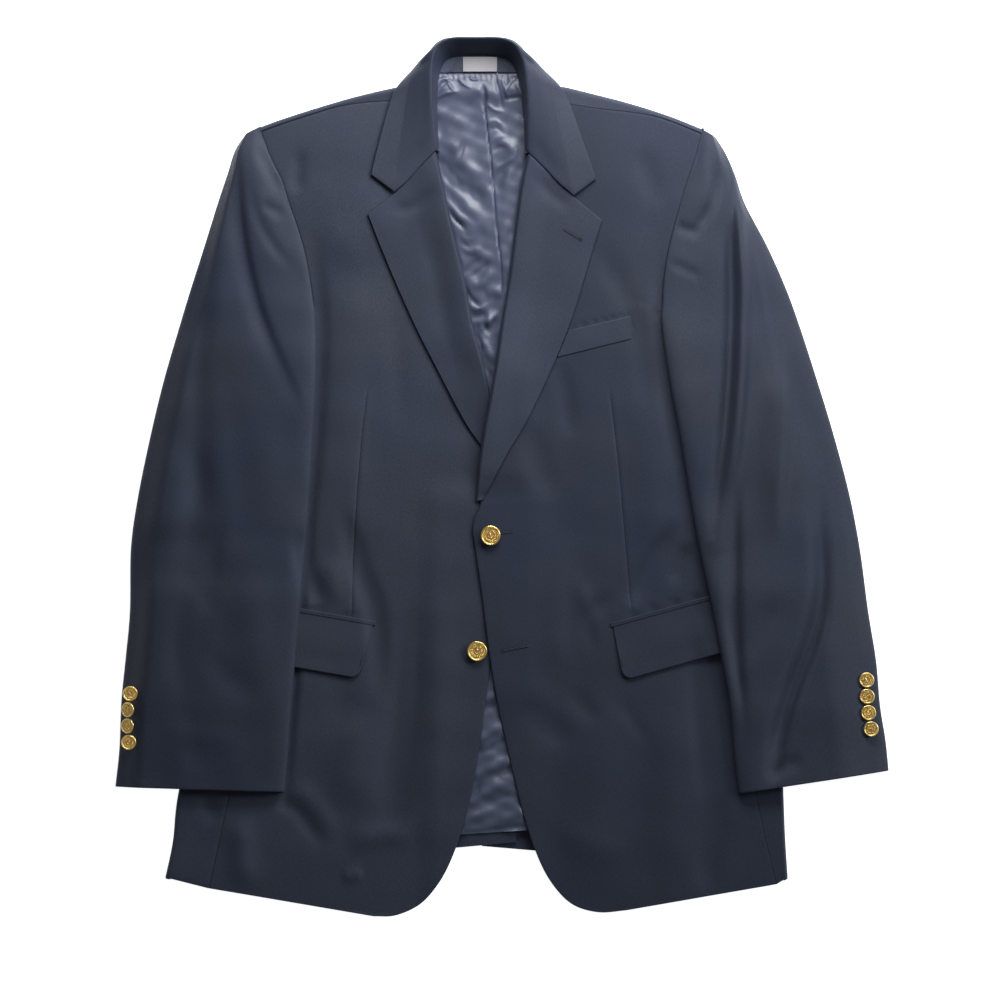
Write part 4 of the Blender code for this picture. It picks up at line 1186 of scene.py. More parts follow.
collarCut = {
    # outer edge with its height, part way up the fall, the roll with its height, the stand's foot with
    # its height
    "sections": (
        (371, 175, 13.0, 395, 192.6, 436, 151.4, 15.8, 439.5, 152, 5.6),
        (377, 150, 13.9, 399, 152, 434, 128, 19.5, 438, 128, 5.6),
        (385, 120, 14.2, 404, 116, 432, 104, 23.0, 437.5, 105, 5.6),
        (391, 100, 14.2, 407, 95, 431.5, 84, 25.5, 438.5, 86, 5.4),
        (398, 86.5, 14.2, 411, 79, 432, 66, 27.0, 440.5, 71, 5.0),
        (413, 69, 5.0, 417, 65, 435.5, 53, 28.5, 445, 62, 4.8),
        (428.5, 53, 0.3, 428, 53, 440, 46, 29.0, 451, 58, 4.8),
        (438.5, 42, 0.3, 438.5, 42, 448, 42, 29.0, 459, 56.4, 4.8),
        (453, 38.3, 0.3, 453, 38.3, 457, 40.5, 29.0, 465, 55.8, 4.8),
        (476.5, 38, 0.3, 476.5, 38, 476.5, 40.5, 29.0, 476.5, 55.6, 4.8),
    ),
    "lean": (476.5, 38, 0.05),  # the line that the left half mirrors about
    "sag": (0.042, 90, 150),
    "stations": 56,
    "columns": 51,
    "upright": (12.0, 0.3),  # height of the outer edge, from a laid fall to one that hangs
    "fallLow": (0.36, 0.04),  # share of the rise, and what hanging adds
    "fallHigh": (0.78, 0.07),
    "fallOut": 0.62,
    "hangIn": 0.6,
    "standOut": 0.45,
    "standUp": 0.62,
    "straight": (2.0, 0.9),  # points of a line, from its outer edge, where it stops being straight
    "foldsAbove": (8, 12),
    "edgeRoll": 0.95,
    "endRoll": 0.5,
    "folds": ((7, -0.7, (398, 178), (415, 160), (428, 140)), (7, -0.7, (566, 178), (550, 160), (537, 140))),
}


def otherHalf(row):
    # a section of the left half, from the same one of the right half
    axisAcross, axisDown, lean = collarCut["lean"]
    sag, sagFrom, sagTo = collarCut["sag"]
    other = row.copy()
    for first, second in ((0, 1), (3, 4), (5, 6), (8, 9)):
        across, down = row[first], row[second]
        other[first] = 2 * (axisAcross + lean * (down - axisDown)) - across
        other[second] = down + sag * abs(across - axisAcross) * ramp(down, sagFrom, sagTo)
    return other


def straightFall(line):
    # a smooth section whose outer part is straight as seen from above, for a sharp notch
    smooth = through(line, collarCut["columns"])
    place = np.linspace(0, len(line) - 1, collarCut["columns"])
    for axis in (0, 1):
        straight = np.interp(place, np.arange(len(line)), line[:, axis])
        smooth[:, axis] += (straight - smooth[:, axis]) * ramp(place, *collarCut["straight"])
    return smooth


def collarLine(row):
    # one section, from the outer edge over the roll to the stand's foot
    cut = collarCut
    outer, middle, roll, foot = row[:3], row[3:5], row[5:8], row[8:]
    upright = ramp(outer[2], *cut["upright"])
    low, high = (
        outer[2] + (roll[2] - outer[2]) * (share + more * upright)
        for share, more in (cut["fallLow"], cut["fallHigh"])
    )
    upper = middle + (roll[:2] - middle) * cut["fallOut"] * (1 - cut["hangIn"] * upright)
    stand = roll[:2] + (foot[:2] - roll[:2]) * cut["standOut"]
    standHeight = foot[2] + (roll[2] - foot[2]) * cut["standUp"]
    return straightFall(np.array([outer, [*middle, low], [*upper, high], roll, [*stand, standHeight], foot]))


def makeCollar():
    cut = collarCut
    half = through(cut["sections"], cut["stations"])
    rows = list(half) + [otherHalf(row) for row in half[-2::-1]]
    flat = np.array([collarLine(row) for row in rows])
    across, down, height = flat.transpose(2, 0, 1)
    flat[:, :, 2] += folds(cut["folds"], across, down) * ramp(height, *cut["foldsAbove"])
    points = rollEdges(flat, start=cut["edgeRoll"], low=cut["endRoll"], high=cut["endRoll"])
    piece = cloth("collar", points, walls["doubled"], worsted)
    laySheet(piece, flat, ["front_right", "front_left"], "worsted", "collar")


sleeveCut = {
    # across and down of the inner edge, then of the outer one, and the crown between them
    "sections": (
        (
            (259.5, 127.5, 245, 135, 1.0), (268, 147, 235, 151, 4.0), (278, 171, 228, 173, 6.0),
            (289, 202, 218, 203, 7.0), (304.5, 250, 204, 248, 7.5), (313, 292, 190, 292, 7.5),
            (316, 325, 180, 325, 7.5), (316.6, 380, 164, 380, 8.0), (313.5, 436, 150.5, 436, 8.0),
            (309.5, 500, 138, 497, 8.0), (305.5, 552, 131, 548, 8.0), (300, 610, 130, 610, 8.0),
            (295.5, 660, 126, 655, 7.5), (291.5, 705, 121.5, 700, 7.5), (288.3, 750, 119.5, 748, 7.0),
            (284.5, 791.5, 115.4, 786.5, 6.5),
        ),
        (
            (702.5, 130, 716, 138, 1.0), (698, 150, 726, 154, 4.0), (690, 172, 735, 175, 6.0),
            (680.5, 203, 745, 204, 7.0), (669, 246, 766.5, 245, 7.5), (662.5, 284, 784, 284, 7.5),
            (661, 320, 797, 319, 7.5), (669, 380, 817, 380, 8.0), (679.5, 436, 834, 436, 8.0),
            (690, 500, 849.5, 495, 8.0), (699.5, 552, 860, 550, 8.0), (712, 610, 868, 610, 8.0),
            (721.5, 660, 876, 660, 7.5), (729.5, 705, 880, 705, 7.5), (733.2, 750, 885.5, 740, 7.0),
            (738.5, 793, 888.6, 770.5, 6.5),
        ),
    ),
    "folds": (
        (
            ((11, 5), -3.0, (240, 158), (244, 220), (252, 270), (268, 325), (298, 395)),
            (6, -1.3, (256, 195), (264, 222), (276, 244), (292, 264)),
            (6, -1.3, (266, 204), (276, 210), (288, 216)), (5, -1.2, (290, 200), (298, 203)),
            (13, -2.6, (212, 215), (209, 300), (206, 377), (208, 443), (205, 500), (190, 570)),
            (14, -1.6, (196, 440), (210, 480), (215, 520)), (10, -1.0, (195, 583), (184, 640), (188, 693)),
            (10, -0.8, (195, 573), (210, 594), (225, 613)), (13, -1.1, (212, 647), (240, 680), (272, 697)),
            (12, -1.0, (195, 707), (202, 767)), (17, 1.2, (176, 430), (160, 700)),
            (20, 1.2, (266, 420), (252, 700)), (12, 1.0, (225, 210), (214, 330)),
            (12, 1.0, (170, 730), (240, 742)), (5, -1.0, (262, 150), (280, 190)),
        ),
        (
            ((11, 7), 8.5, (738, 160), (741, 250), (742, 310), (738, 410), (724, 520)),
            ((9, 5), -8.0, (734, 175), (735, 250), (736, 310), (731, 410), (718, 510)),
            ((12, 6), -5.6, (738, 490), (738, 560), (739, 640), (745, 720)),
            (6, -2.8, (724, 160), (717, 200), (700, 232)), (5, -1.5, (672, 224), (686, 229), (702, 234)),
            (5, -0.9, (668, 262), (684, 268), (703, 278)),
            ((19, 8), 7.5, (781, 360), (780, 430), (774, 520)), (4, 1.2, (750, 227), (765, 320), (783, 410)),
            (12, -1.2, (790, 360), (817, 443)),
            ((11, 6), -8.5, (824, 520), (826, 590), (816, 640), (797, 690), (785, 730), (777, 775)),
            (13, -2.0, (784, 600), (766, 630), (748, 664)), (12, 0.8, (762, 215), (764, 300)),
            (16, 1.3, (838, 500), (852, 650)), (8, -2.2, (803, 757), (773, 777)),
            (4, -0.8, (712, 150), (716, 200)), (4, -0.8, (726, 170), (727, 220)),
        ),
    ),
    "uneven": {"seed": 7, "size": 0.35, "shortest": 45, "longest": 120},
    "rows": 216,
    "columns": 84,
    "roundness": 3.6,
    "stands": 1.1,  # its inner edge above the front
    "freeFrom": (310, 350),
    "setIn": (318, 300),  # up to here its inner edge is sewn to the armhole
    "capFade": (400, 170),  # over its head it is flatter
    "capDown": (285, 335),
    "capBlend": (170, 420),
    "drop": 36,  # how far outside the body its lower face comes down to the surface
    "edge": 0.6,  # its outer edge above the surface
    "ends": 0.1,  # share of the width at each edge where its relief fades in
    "blend": 6.0,  # softens its bend between the surface and what it lies on
    "restRise": 0.3,
    "headFoot": 1.7,
    "headWall": (0.0, 0.3, 0.6, 0.85),  # it goes down to its foot beside the shoulder
    "topFlapRise": 2.2,
    "level": (0.16, 0.36),  # share of the width over which it comes down to the surface
    "loft": 1.22,  # fuller than the solid, for room under its folds
    "cuffRoll": 1.0,
    "headRoll": 0.5,
    "seamRoll": 0.3,
    "seamTuck": 0.6,
}
underCut = {
    "rows": 130,
    "columns": 30,
    "hidden": 6,  # first rows, left out inside the sleeve's head
    "inset": (1.6, 4.8),  # at its outer and inner edges
    "insetCap": 1.6,
    "insetMost": 0.2,  # share of the width
    "cap": (345, 315),
    "rise": 0.5,  # share of the worsted's wall
    "wall": 0.6,
    "cuffRoll": 0.7,
}


def flapShare(side, across, down):
    # 1 where a flap lies under the sleeve, and fading to 0 round it
    flap = flapCut["flaps"][side]
    along = (across - flap["front"][0]) * flap["away"]
    beneath = down - flap["front"][1] - (across - flap["front"][0]) * flap["topSlope"]
    margin, fade = flapCut["margin"], flapCut["fade"]
    far, low = flapCut["length"] + margin, flap["depth"] + margin
    inside = zone(along, (*flapCut["frontFade"], far, far + fade))
    return inside * zone(beneath, (-margin - fade, -margin, low, low + fade))


def sleeveRest(side, across, down, cap, flapRise):
    # height of the under sleeve's lower face, on the body and down to the surface outside it
    outward = (acrossAt(outlines["sideEdge"][side], down) - across) * inward[side]
    onBody = frontTop(side, across, down) + stack["sleeveRest"] + flapRise * flapShare(side, across, down)
    return onBody * ramp(outward, sleeveCut["drop"], 0.0) * zone(down, cap)


def sleeveEdges(side, count):
    # the outer and inner edges of each row, set in along the armhole, and its crown
    rows = through(sleeveCut["sections"][side], count)
    seam = acrossAt(outlines["armhole"][side], rows[:, 1]) - frontCut["seamGap"] * inward[side]
    inner = rows[:, 0] + (seam - rows[:, 0]) * ramp(rows[:, 1], *sleeveCut["setIn"])
    return np.column_stack([rows[:, 2], rows[:, 3], inner, rows[:, 1]]), rows[:, 4:5]


def atEnds(share):
    # 1 across the sleeve, 0 at its two edges
    return ramp(share, 0.0, sleeveCut["ends"]) * ramp(share, 1.0, 1.0 - sleeveCut["ends"])


def sleeveTop(side, edges, crown, across, down, share):
    # a rounded section that leans from the body to the surface
    cut = sleeveCut
    innerAcross, innerDown = edges[:, 2:3], edges[:, 3:4]
    cap = ramp(innerDown, *cut["capFade"])
    inner = frontTop(side, innerAcross, innerDown) + stack["sleeveRest"] * (1 - cap)
    inner = inner + cut["topFlapRise"] * flapShare(side, innerAcross, innerDown)
    inner = inner + cut["stands"] * ramp(innerDown, *cut["freeFrom"])
    power = cut["roundness"]
    rounded = (1 - np.abs(2 * share - 1) ** power) ** (1 / power)
    eased = np.where(share > 0.5, np.sin(math.pi * share), rounded)
    section = rounded + (eased - rounded) * cap
    rest = sleeveRest(side, across, down, cut["capBlend"], cut["topFlapRise"]) + cut["restRise"]
    rest = rest * (1 - cap)
    lean = inner * ramp(share, 0.0, cut["level"][side])
    base = (lean + rest + np.sqrt((lean - rest) ** 2 + cut["blend"] * atEnds(share))) / 2
    relief = folds(cut["folds"][side], across, down) + undulation(across, down, side, cut["uneven"])
    edge = cut["edge"] * (1 - ramp(share, 0, 1))
    return edge + base + cut["loft"] * crown * section + relief * atEnds(share)


def makeTopSleeve(side, name):
    cut = sleeveCut
    edges, crown = sleeveEdges(side, cut["rows"])
    share = (0.5 - 0.5 * np.cos(math.pi * np.linspace(0, 1, cut["columns"])))[None, :]
    across, down = between(edges, share[0])
    flat = np.dstack([across, down, sleeveTop(side, edges, crown, across, down, share)])
    foot = flat[:1].copy()
    foot[:, :, 2] = np.minimum(foot[:, :, 2], cut["headFoot"])
    closed = [foot + (flat[:1] - foot) * rise for rise in cut["headWall"]]
    points = rollEdges(np.concatenate([*closed, flat]), high=cut["cuffRoll"], low=cut["headRoll"])
    points = rollEdge(points, "end", cut["seamRoll"], cut["seamTuck"])
    piece = cloth(name, points, walls["worsted"], worsted)
    laySheet(piece, flat, [f"front_{words[side]}"], "worsted", name)


def makeUnderSleeve(side, name):
    cut = underCut
    edges = sleeveEdges(side, cut["rows"])[0]
    outerInset, innerInset = cut["inset"]
    innerInset = innerInset + (cut["insetCap"] - innerInset) * ramp(edges[:, 3], *cut["cap"])
    outerInset = np.minimum(outerInset, cut["insetMost"] * np.abs(edges[:, 2] - edges[:, 0]))
    edges[:, 0] += outerInset * inward[side]
    edges[:, 2] -= innerInset * inward[side]
    across, down = between(edges[cut["hidden"] :], np.linspace(0, 1, cut["columns"]))
    rest = sleeveRest(side, across, down, sleeveCut["capDown"], stack["flapRise"])
    flat = np.dstack([across, down, rest + cut["rise"] * walls["worsted"]])
    # the under sleeve's worsted is painted lighter, against its shade
    piece = cloth(name, rollEdges(flat, high=cut["cuffRoll"]), cut["wall"] * walls["worsted"], worstedPaintedLighter)
    laySheet(piece, flat, [f"front_{words[side]}"], "worsted", name)


flapCut = {
    "flaps": (
        {
            "front": (373.8, 624.4), "away": -1, "depth": 54.4, "slant": -12.0,
            "topSlope": 0.174, "footSlope": 0.160,
        },
        {
            "front": (612.4, 626.0), "away": 1, "depth": 55.0, "slant": 9.0,
            "topSlope": -0.277, "footSlope": -0.266,
        },
    ),
    "length": 150,
    "corner": 13,
    "edgeRadius": 1.0,
    "edgeColumns": 6,
    "cornerColumns": 12,
    "columns": 46,
    "rows": 34,
    "lastRow": 1.6,  # edge radii above the lower edge, where the close rows begin
    "hang": {"start": 1.0, "upper": 1.4, "lower": 0.4, "bend": 0.7},  # it stands off the front as it falls
    "sway": {"size": 0.35, "length": 17.0, "shift": 2, "from": 0.4},
    "topRoll": 0.5,
    "margin": 4,
    "fade": 110,
    "frontFade": (-20, -2),
}
jettingCut = {
    "past": 1.6,  # beyond the flap's front
    "columns": 60,
    "rows": 9,
    "above": 4.4,
    "below": 0.9,
    "rise": 1.8,
    "slope": 0.15,
    "edgeRoll": 0.6,
}


def flapPoint(side, along, fall):
    # a point of the flap, and how far it is inside the rounded outline
    flap, corner = flapCut["flaps"][side], flapCut["corner"]
    short = corner - np.sqrt(np.maximum(corner**2 - np.maximum(corner - along, 0) ** 2, 0))
    full = flap["depth"] + (flap["footSlope"] - flap["topSlope"]) * along * flap["away"]
    slant = flap["slant"] * (1 - along / flapCut["length"]) * fall
    across = flap["front"][0] + flap["away"] * along + slant
    down = flap["front"][1] + flap["topSlope"] * along * flap["away"] + (full - short) * fall
    above = full - (full - short) * fall
    rounded = corner - np.hypot(corner - along, corner - above)
    inside = np.where((along < corner) & (above < corner), rounded, np.minimum(along, above))
    return across, down, inside


def makeFlap(side, name):
    cut, hangs, sways = flapCut, flapCut["hang"], flapCut["sway"]
    radius, depth = cut["edgeRadius"], cut["flaps"][side]["depth"]
    close = radius * (1 - np.cos(np.linspace(0, math.pi / 2, cut["edgeColumns"])))
    corner = np.linspace(radius, cut["corner"], cut["cornerColumns"])[1:]
    length = np.linspace(cut["corner"], cut["length"], cut["columns"])[1:]
    along = np.concatenate([close, corner, length])[None, :]
    upper = np.linspace(0, 1 - cut["lastRow"] * radius / depth, cut["rows"])
    fall = np.concatenate([upper, 1 - close[::-1] / depth])[:, None]
    across, down, inside = flapPoint(side, along, fall)
    hang = hangs["start"] + hangs["upper"] * ramp(fall, 0.0, hangs["bend"])
    hang = hang + hangs["lower"] * ramp(fall, hangs["bend"], 1.0)
    sway = sways["size"] * np.sin(along / sways["length"] + sways["shift"] * side)
    sway = sway * ramp(fall, sways["from"], 1.0)
    edge = np.clip(1 - inside / radius, 0, 1)
    height = frontTop(side, across, down) + hang + sway - radius * (1 - np.sqrt(1 - edge**2))
    flat = np.dstack([across, down, height])
    piece = cloth(name, rollEdges(flat, low=cut["topRoll"]), walls["doubled"], worsted)
    laySheet(piece, flat, [f"front_{words[side]}"], "worsted", name, trims=[makeJetting(side)])


def makeJetting(side):
    # the bound strip above a flap, a little longer than it at the front
    cut, flap = jettingCut, flapCut["flaps"][side]
    along = np.linspace(-cut["past"], flapCut["length"], cut["columns"])[None, :]
    fall = np.linspace(0, 1, cut["rows"])[:, None]
    across = np.repeat(flap["front"][0] + flap["away"] * along, cut["rows"], axis=0)
    down = flap["front"][1] + flap["topSlope"] * along * flap["away"]
    down = down + cut["below"] - cut["above"] * (1 - fall)
    height = frontTop(side, across, down) + cut["rise"] * (1 - cut["slope"] * fall)
    points = np.dstack([across, down, height])
    points = rollEdges(points, start=cut["edgeRoll"], high=cut["edgeRoll"], low=cut["edgeRoll"])
    piece = cloth(f"jetting_{words[side]}", points, walls["worsted"], worsted)
    sewOn(piece, "worsted")
    return piece


weltCut = {
    # across and down of its lower edge's ends, then of its upper edge's
    "corners": ((556.9, 357.6, 631.4, 339.2), (568.6, 330.4, 630.6, 316.3)),
    "rise": 0.9,
    "rows": 26,
    "columns": 60,
    "edgeRoll": 0.8,
    "topRoll": 0.9,
}


def makeWelt():
    cut = weltCut
    across, down = between(through(cut["corners"], cut["rows"]), np.linspace(0, 1, cut["columns"]))
    flat = np.dstack([across, down, frontTop(left, across, down) + cut["rise"]])
    points = rollEdges(flat, low=cut["edgeRoll"], high=cut["topRoll"])
    points = rollEdges(points, start=cut["edgeRoll"], end=cut["edgeRoll"])
    piece = cloth("breast_welt", points, walls["worsted"], worsted)
    laySheet(piece, flat, ["front_left"], "worsted", "breast_welt")


buttonCut = {
    # name, place, side and turn of each front button; place, tilt and turn of each cuff one
    "front": (
        ("button_front_upper", (490.6, 535.4), left, 8),
        ("button_front_lower", (477.2, 650.9), right, -6),
    ),
    "cuff": (
        ((131.2, 693.2, 0, 40), (130.2, 709.2, -32, -15), (129.8, 725.4, -32, 12), (129.7, 741.8, 0, -30)),
        ((865.8, 679.6, 0, 25), (866.2, 696.0, 0, -50), (867.6, 712.2, 0, 15), (870.2, 728.4, 0, 70)),
    ),
    "frontSize": 20.0,
    "cuffSize": 15.0,
    "above": 0.35,
    "tiltRise": 0.7,
    "shank": 0.24,
    "sleeveRows": 200,
    # turned form of a button of diameter 1: shank, back, rim, then the sunken ground
    "profile": (
        (0.0, 0.0), (0.1, 0.0), (0.12, 0.012), (0.12, 0.1), (0.16, 0.115), (0.4, 0.128), (0.462, 0.142),
        (0.488, 0.165), (0.497, 0.19), (0.494, 0.212), (0.48, 0.232), (0.462, 0.243), (0.444, 0.246),
        (0.424, 0.241), (0.41, 0.228), (0.4, 0.212), (0.388, 0.208), (0.3, 0.216), (0.2, 0.222),
        (0.1, 0.226), (0.0, 0.227),
    ),
    "groundFrom": 0.397,
    "groundAbove": 0.2,
    "sides": 80,
    "doubles": 0.0005,
}
# the relief on a button of diameter 1: a ring of beads, a laurel wreath and an anchor, each part a
# ball of these half sizes
motif = {
    "ground": 0.224,
    "ball": {"segments": 10, "ring_count": 6, "radius": 1.0},
    "beads": {"count": 40, "ring": 0.365, "size": 0.019, "sunk": 0.008},
    "leaves": {"count": 9, "from": -78, "step": 17.5, "rise": 0.004, "size": (0.043, 0.019, 0.022)},
    "leafRows": ((0.292, 0.55), (0.238, -0.5)),  # ring, and how far its leaves splay
    "shaft": (0.026, 0.15, 0.036),
    "stock": {"up": 0.085, "size": (0.085, 0.02, 0.032)},
    "eye": {"up": 0.165, "rise": 0.008, "ring": 0.032, "wire": 0.013, "sides": 18, "wireSides": 8},
    "arms": {"count": 11, "from": 205, "step": 13, "ring": 0.125, "up": 0.005, "size": (0.024, 0.02, 0.033)},
    "flukes": {"out": 0.125, "up": -0.028, "turn": 1.1, "size": (0.035, 0.022, 0.033)},
}


def lathe(name, profile, sides):
    # a grid primitive turned round the upright axis, a row for each point of the profile
    rings = len(profile)
    bpy.ops.object.select_all(action="DESELECT")
    bpy.ops.mesh.primitive_grid_add(x_subdivisions=sides, y_subdivisions=rings - 1, size=1.0)
    piece = bpy.context.object
    piece.name = piece.data.name = name
    for vertex in piece.data.vertices:
        turn = (vertex.co.x + 0.5) * 2 * math.pi
        radius, height = profile[round((vertex.co.y + 0.5) * (rings - 1))]
        vertex.co = (radius * math.cos(turn), radius * math.sin(turn), height)
    bpy.ops.object.mode_set(mode="EDIT")
    bpy.ops.mesh.select_all(action="SELECT")
    bpy.ops.mesh.remove_doubles(threshold=buttonCut["doubles"])
    bpy.ops.mesh.normals_make_consistent(inside=False)
    bpy.ops.object.mode_set(mode="OBJECT")
    return piece


def addBall(place, size, turn=0.0):
    # a ball of the motif, baked where it lies on the button's ground
    bpy.ops.mesh.primitive_uv_sphere_add(**motif["ball"])
    part = bpy.context.object
    across, up, rise = place
    move = Matrix.Translation((across, up, motif["ground"] + rise)) @ Matrix.Rotation(turn, 4, "Z")
    part.data.transform(move @ Matrix.Diagonal((*size, 1.0)))
    return part


def addEye():
    # the ring at the anchor's head
    eye = motif["eye"]
    bpy.ops.mesh.primitive_torus_add(
        major_radius=eye["ring"],
        minor_radius=eye["wire"],
        major_segments=eye["sides"],
        minor_segments=eye["wireSides"],
    )
    part = bpy.context.object
    part.data.transform(Matrix.Translation((0, eye["up"], motif["ground"] + eye["rise"])))
    return part


def addBeads():
    beads = motif["beads"]
    parts = []
    for number in range(beads["count"]):
        turn = 2 * math.pi * number / beads["count"]
        place = (beads["ring"] * math.cos(turn), beads["ring"] * math.sin(turn), -beads["sunk"])
        parts.append(addBall(place, (beads["size"],) * 3))
    return parts


def addWreath():
    leaves = motif["leaves"]
    parts = []
    for side in (-1, 1):
        for number in range(leaves["count"]):
            turn = math.radians(leaves["from"] + leaves["step"] * number)
            for ring, splay in motif["leafRows"]:
                aim = turn + math.pi / 2 - splay
                aim = aim if side > 0 else math.pi - aim
                place = (side * ring * math.cos(turn), ring * math.sin(turn), leaves["rise"])
                parts.append(addBall(place, leaves["size"], aim))
    return parts


def addAnchor():
    stock, arms, flukes = motif["stock"], motif["arms"], motif["flukes"]
    parts = [addBall((0, 0, 0), motif["shaft"]), addBall((0, stock["up"], 0), stock["size"]), addEye()]
    for number in range(arms["count"]):
        turn = math.radians(arms["from"] + arms["step"] * number)
        place = (arms["ring"] * math.cos(turn), arms["ring"] * math.sin(turn) + arms["up"], 0)
        parts.append(addBall(place, arms["size"], turn + math.pi / 2))
    for side in (-1, 1):
        place = (side * flukes["out"], flukes["up"], 0)
        parts.append(addBall(place, flukes["size"], side * flukes["turn"]))
    return parts


def makeButtonForm():
    # one button of diameter 1, which every button copies
    cut = buttonCut
    form = lathe("button form", cut["profile"], cut["sides"])
    form.data.materials.append(brass)
    form.data.materials.append(brassGround)
    for face in form.data.polygons:
        reach = max(math.hypot(*form.data.vertices[corner].co.xy) for corner in face.vertices)
        sunken = reach < cut["groundFrom"] and face.center.z > cut["groundAbove"]
        face.material_index = 1 if sunken else 0
    parts = addBeads() + addWreath() + addAnchor()
    for part in parts:
        part.data.materials.append(brass)
    selectOnly(form)
    for part in parts:
        part.select_set(True)
    bpy.ops.object.join()
    bpy.ops.object.shade_smooth_by_angle(angle=math.radians(smoothAngles["button"]))
    return form


def cuffHeight(side, across, down):
    # the sleeve's height under a cuff button's shank
    edges, crown = sleeveEdges(side, buttonCut["sleeveRows"])
    row = int(np.argmin(np.abs((edges[:, 1] + edges[:, 3]) / 2 - down)))
    edge = edges[row : row + 1]
    reach = buttonCut["cuffSize"] / 2 * buttonCut["shank"]
    spots = across + np.array([[-reach, 0, reach]])
    share = (spots - edge[0, 0]) / (edge[0, 2] - edge[0, 0])
    return float(sleeveTop(side, edge, crown[row : row + 1], spots, down + 0 * spots, share).max())


def placeButton(form, name, across, down, foot, size, tilt, turn):
    button = form.copy()
    button.data = form.data.copy()
    bpy.context.collection.objects.link(button)
    button.name = button.data.name = f"{name}_brass"
    move = Matrix.Translation(inMetres(across, down, foot + buttonCut["above"]))
    move = move @ Matrix.Rotation(math.radians(tilt), 4, "Y") @ Matrix.Rotation(math.radians(turn), 4, "Z")
    button.data.transform(move @ Matrix.Scale(size * layout["mm"], 4))
    sewOn(button, "brass", name)


def makeButtons():
    cut, form = buttonCut, makeButtonForm()
    for name, (across, down), side, turn in cut["front"]:
        foot = float(frontTop(side, np.array(across), np.array(down)))
        placeButton(form, name, across, down, foot, cut["frontSize"], 0, turn)
    for side in (right, left):
        for number, (across, down, tilt, turn) in enumerate(cut["cuff"][side], start=1):
            foot = cuffHeight(side, across, down) + cut["tiltRise"] * math.sin(math.radians(abs(tilt)))
            name = f"button_cuff_{words[side]}_{number}"
            placeButton(form, name, across, down, foot, cut["cuffSize"], tilt, turn)
    bpy.data.objects.remove(form)


holeCut = {
    # narrow end, then the end with the eye, and the pieces that each is worked in
    "holes": (
        ("lapel", (563.6, 229.6), (580.2, 239.6), "lapel_left", True),
        ("upper", (512.2, 531.6), (493.0, 534.0), "front_left", False),
        ("lower", (528.2, 645.6), (503.2, 650.6), "front_left", True),
    ),
    "halfWidth": 0.60,
    "eye": 1.35,
    "step": 0.12,  # between points on its outline
    "eyeTurn": 6,
    "thread": 0.55,
    "stitch": 0.62,
    "pinch": 0.18,
    "flatter": 0.8,
    "tubeSides": 11,
    "cordRise": 0.12,
    "outline": 0.45,
    "slitColumns": 5,
    "slitRise": 0.05,
    "tack": {"past": 0.35, "points": 24, "rise": 0.2, "radius": 0.5, "stitch": 0.5},
    "lookFrom": 200.0,
}


def surfaceUnder(piece):
    # reads the heights of a finished piece, in millimetres
    tree = BVHTree.FromPolygons(
        [vertex.co for vertex in piece.data.vertices], [face.vertices[:] for face in piece.data.polygons]
    )

    def heightsAt(spots):
        starts = [Vector(inMetres(*spot, holeCut["lookFrom"])) for spot in spots]
        return np.array([tree.ray_cast(spot, Vector((0, 0, -1)))[0].z / layout["mm"] for spot in starts])

    return heightsAt


def keyhole(start, end, eye, offset):
    # points round a buttonhole at an offset from its slit, from one side of the narrow end to the other
    ahead = (end - start) / np.linalg.norm(end - start)
    aside = np.array([-ahead[1], ahead[0]])
    radius = (holeCut["eye"] if eye else holeCut["halfWidth"]) + offset
    half = holeCut["halfWidth"] + offset
    opening = math.asin(min(half / radius, 1.0))
    reach = np.linalg.norm(end - start) - radius * math.cos(opening)
    along = np.linspace(0, reach, int(reach / holeCut["step"]))
    count = int(radius * holeCut["eyeTurn"] / holeCut["step"])
    turn = np.linspace(math.pi - opening, -math.pi + opening, count)
    near = start + along[:, None] * ahead + half * aside
    ring = end + radius * (np.cos(turn)[:, None] * ahead + np.sin(turn)[:, None] * aside)
    back = start + along[::-1, None] * ahead - half * aside
    return np.vstack([near, ring, back])


def threadTube(name, path, radius, stitch):
    # a corded edge: a tube on its path, pinched between its stitches
    step = np.gradient(path, axis=0)
    ahead = step / np.linalg.norm(step, axis=1, keepdims=True)
    aside = np.cross(ahead, (0, 0, 1.0))
    aside = aside / np.linalg.norm(aside, axis=1, keepdims=True)
    run = np.concatenate([[0], np.linalg.norm(np.diff(path, axis=0), axis=1).cumsum()])
    pinch = holeCut["pinch"]
    pinched = radius * (1 - pinch + pinch * np.abs(np.sin(math.pi * run / stitch)))
    turn = np.linspace(0, 2 * math.pi, holeCut["tubeSides"])[None, :, None]
    ring = np.cos(turn) * aside[:, None, :] + np.sin(turn) * np.array([0, 0, holeCut["flatter"]])
    piece = gridMesh(name, path[:, None, :] + pinched[:, None, None] * ring)
    dress(piece, holeThread, smoothAngles["cord"])
    return piece


def slitCloth(name, start, end, outline, wide, heightsAt):
    # painted shade: a dark sheet over the slit, from its middle line out to the cord
    place = np.linspace(0, 1, len(outline))
    outside = [np.interp(place, np.linspace(0, 1, len(wide)), wide[:, axis]) for axis in (0, 1)]
    reach = np.clip((outline - start) @ (end - start), 0, None) / np.sum((end - start) ** 2)
    spine = start + reach[:, None] * (end - start)
    shares = np.linspace(0, 1, holeCut["slitColumns"])[None, :, None]
    plan = spine[:, None, :] + (np.column_stack(outside) - spine)[:, None, :] * shares
    levels = heightsAt(plan.reshape(-1, 2)).reshape(plan.shape[:2])
    slit = gridMesh(name, np.dstack([plan, levels + holeCut["slitRise"]]))
    dress(slit, slitPaintedShade, smoothAngles["slit"])
    return slit


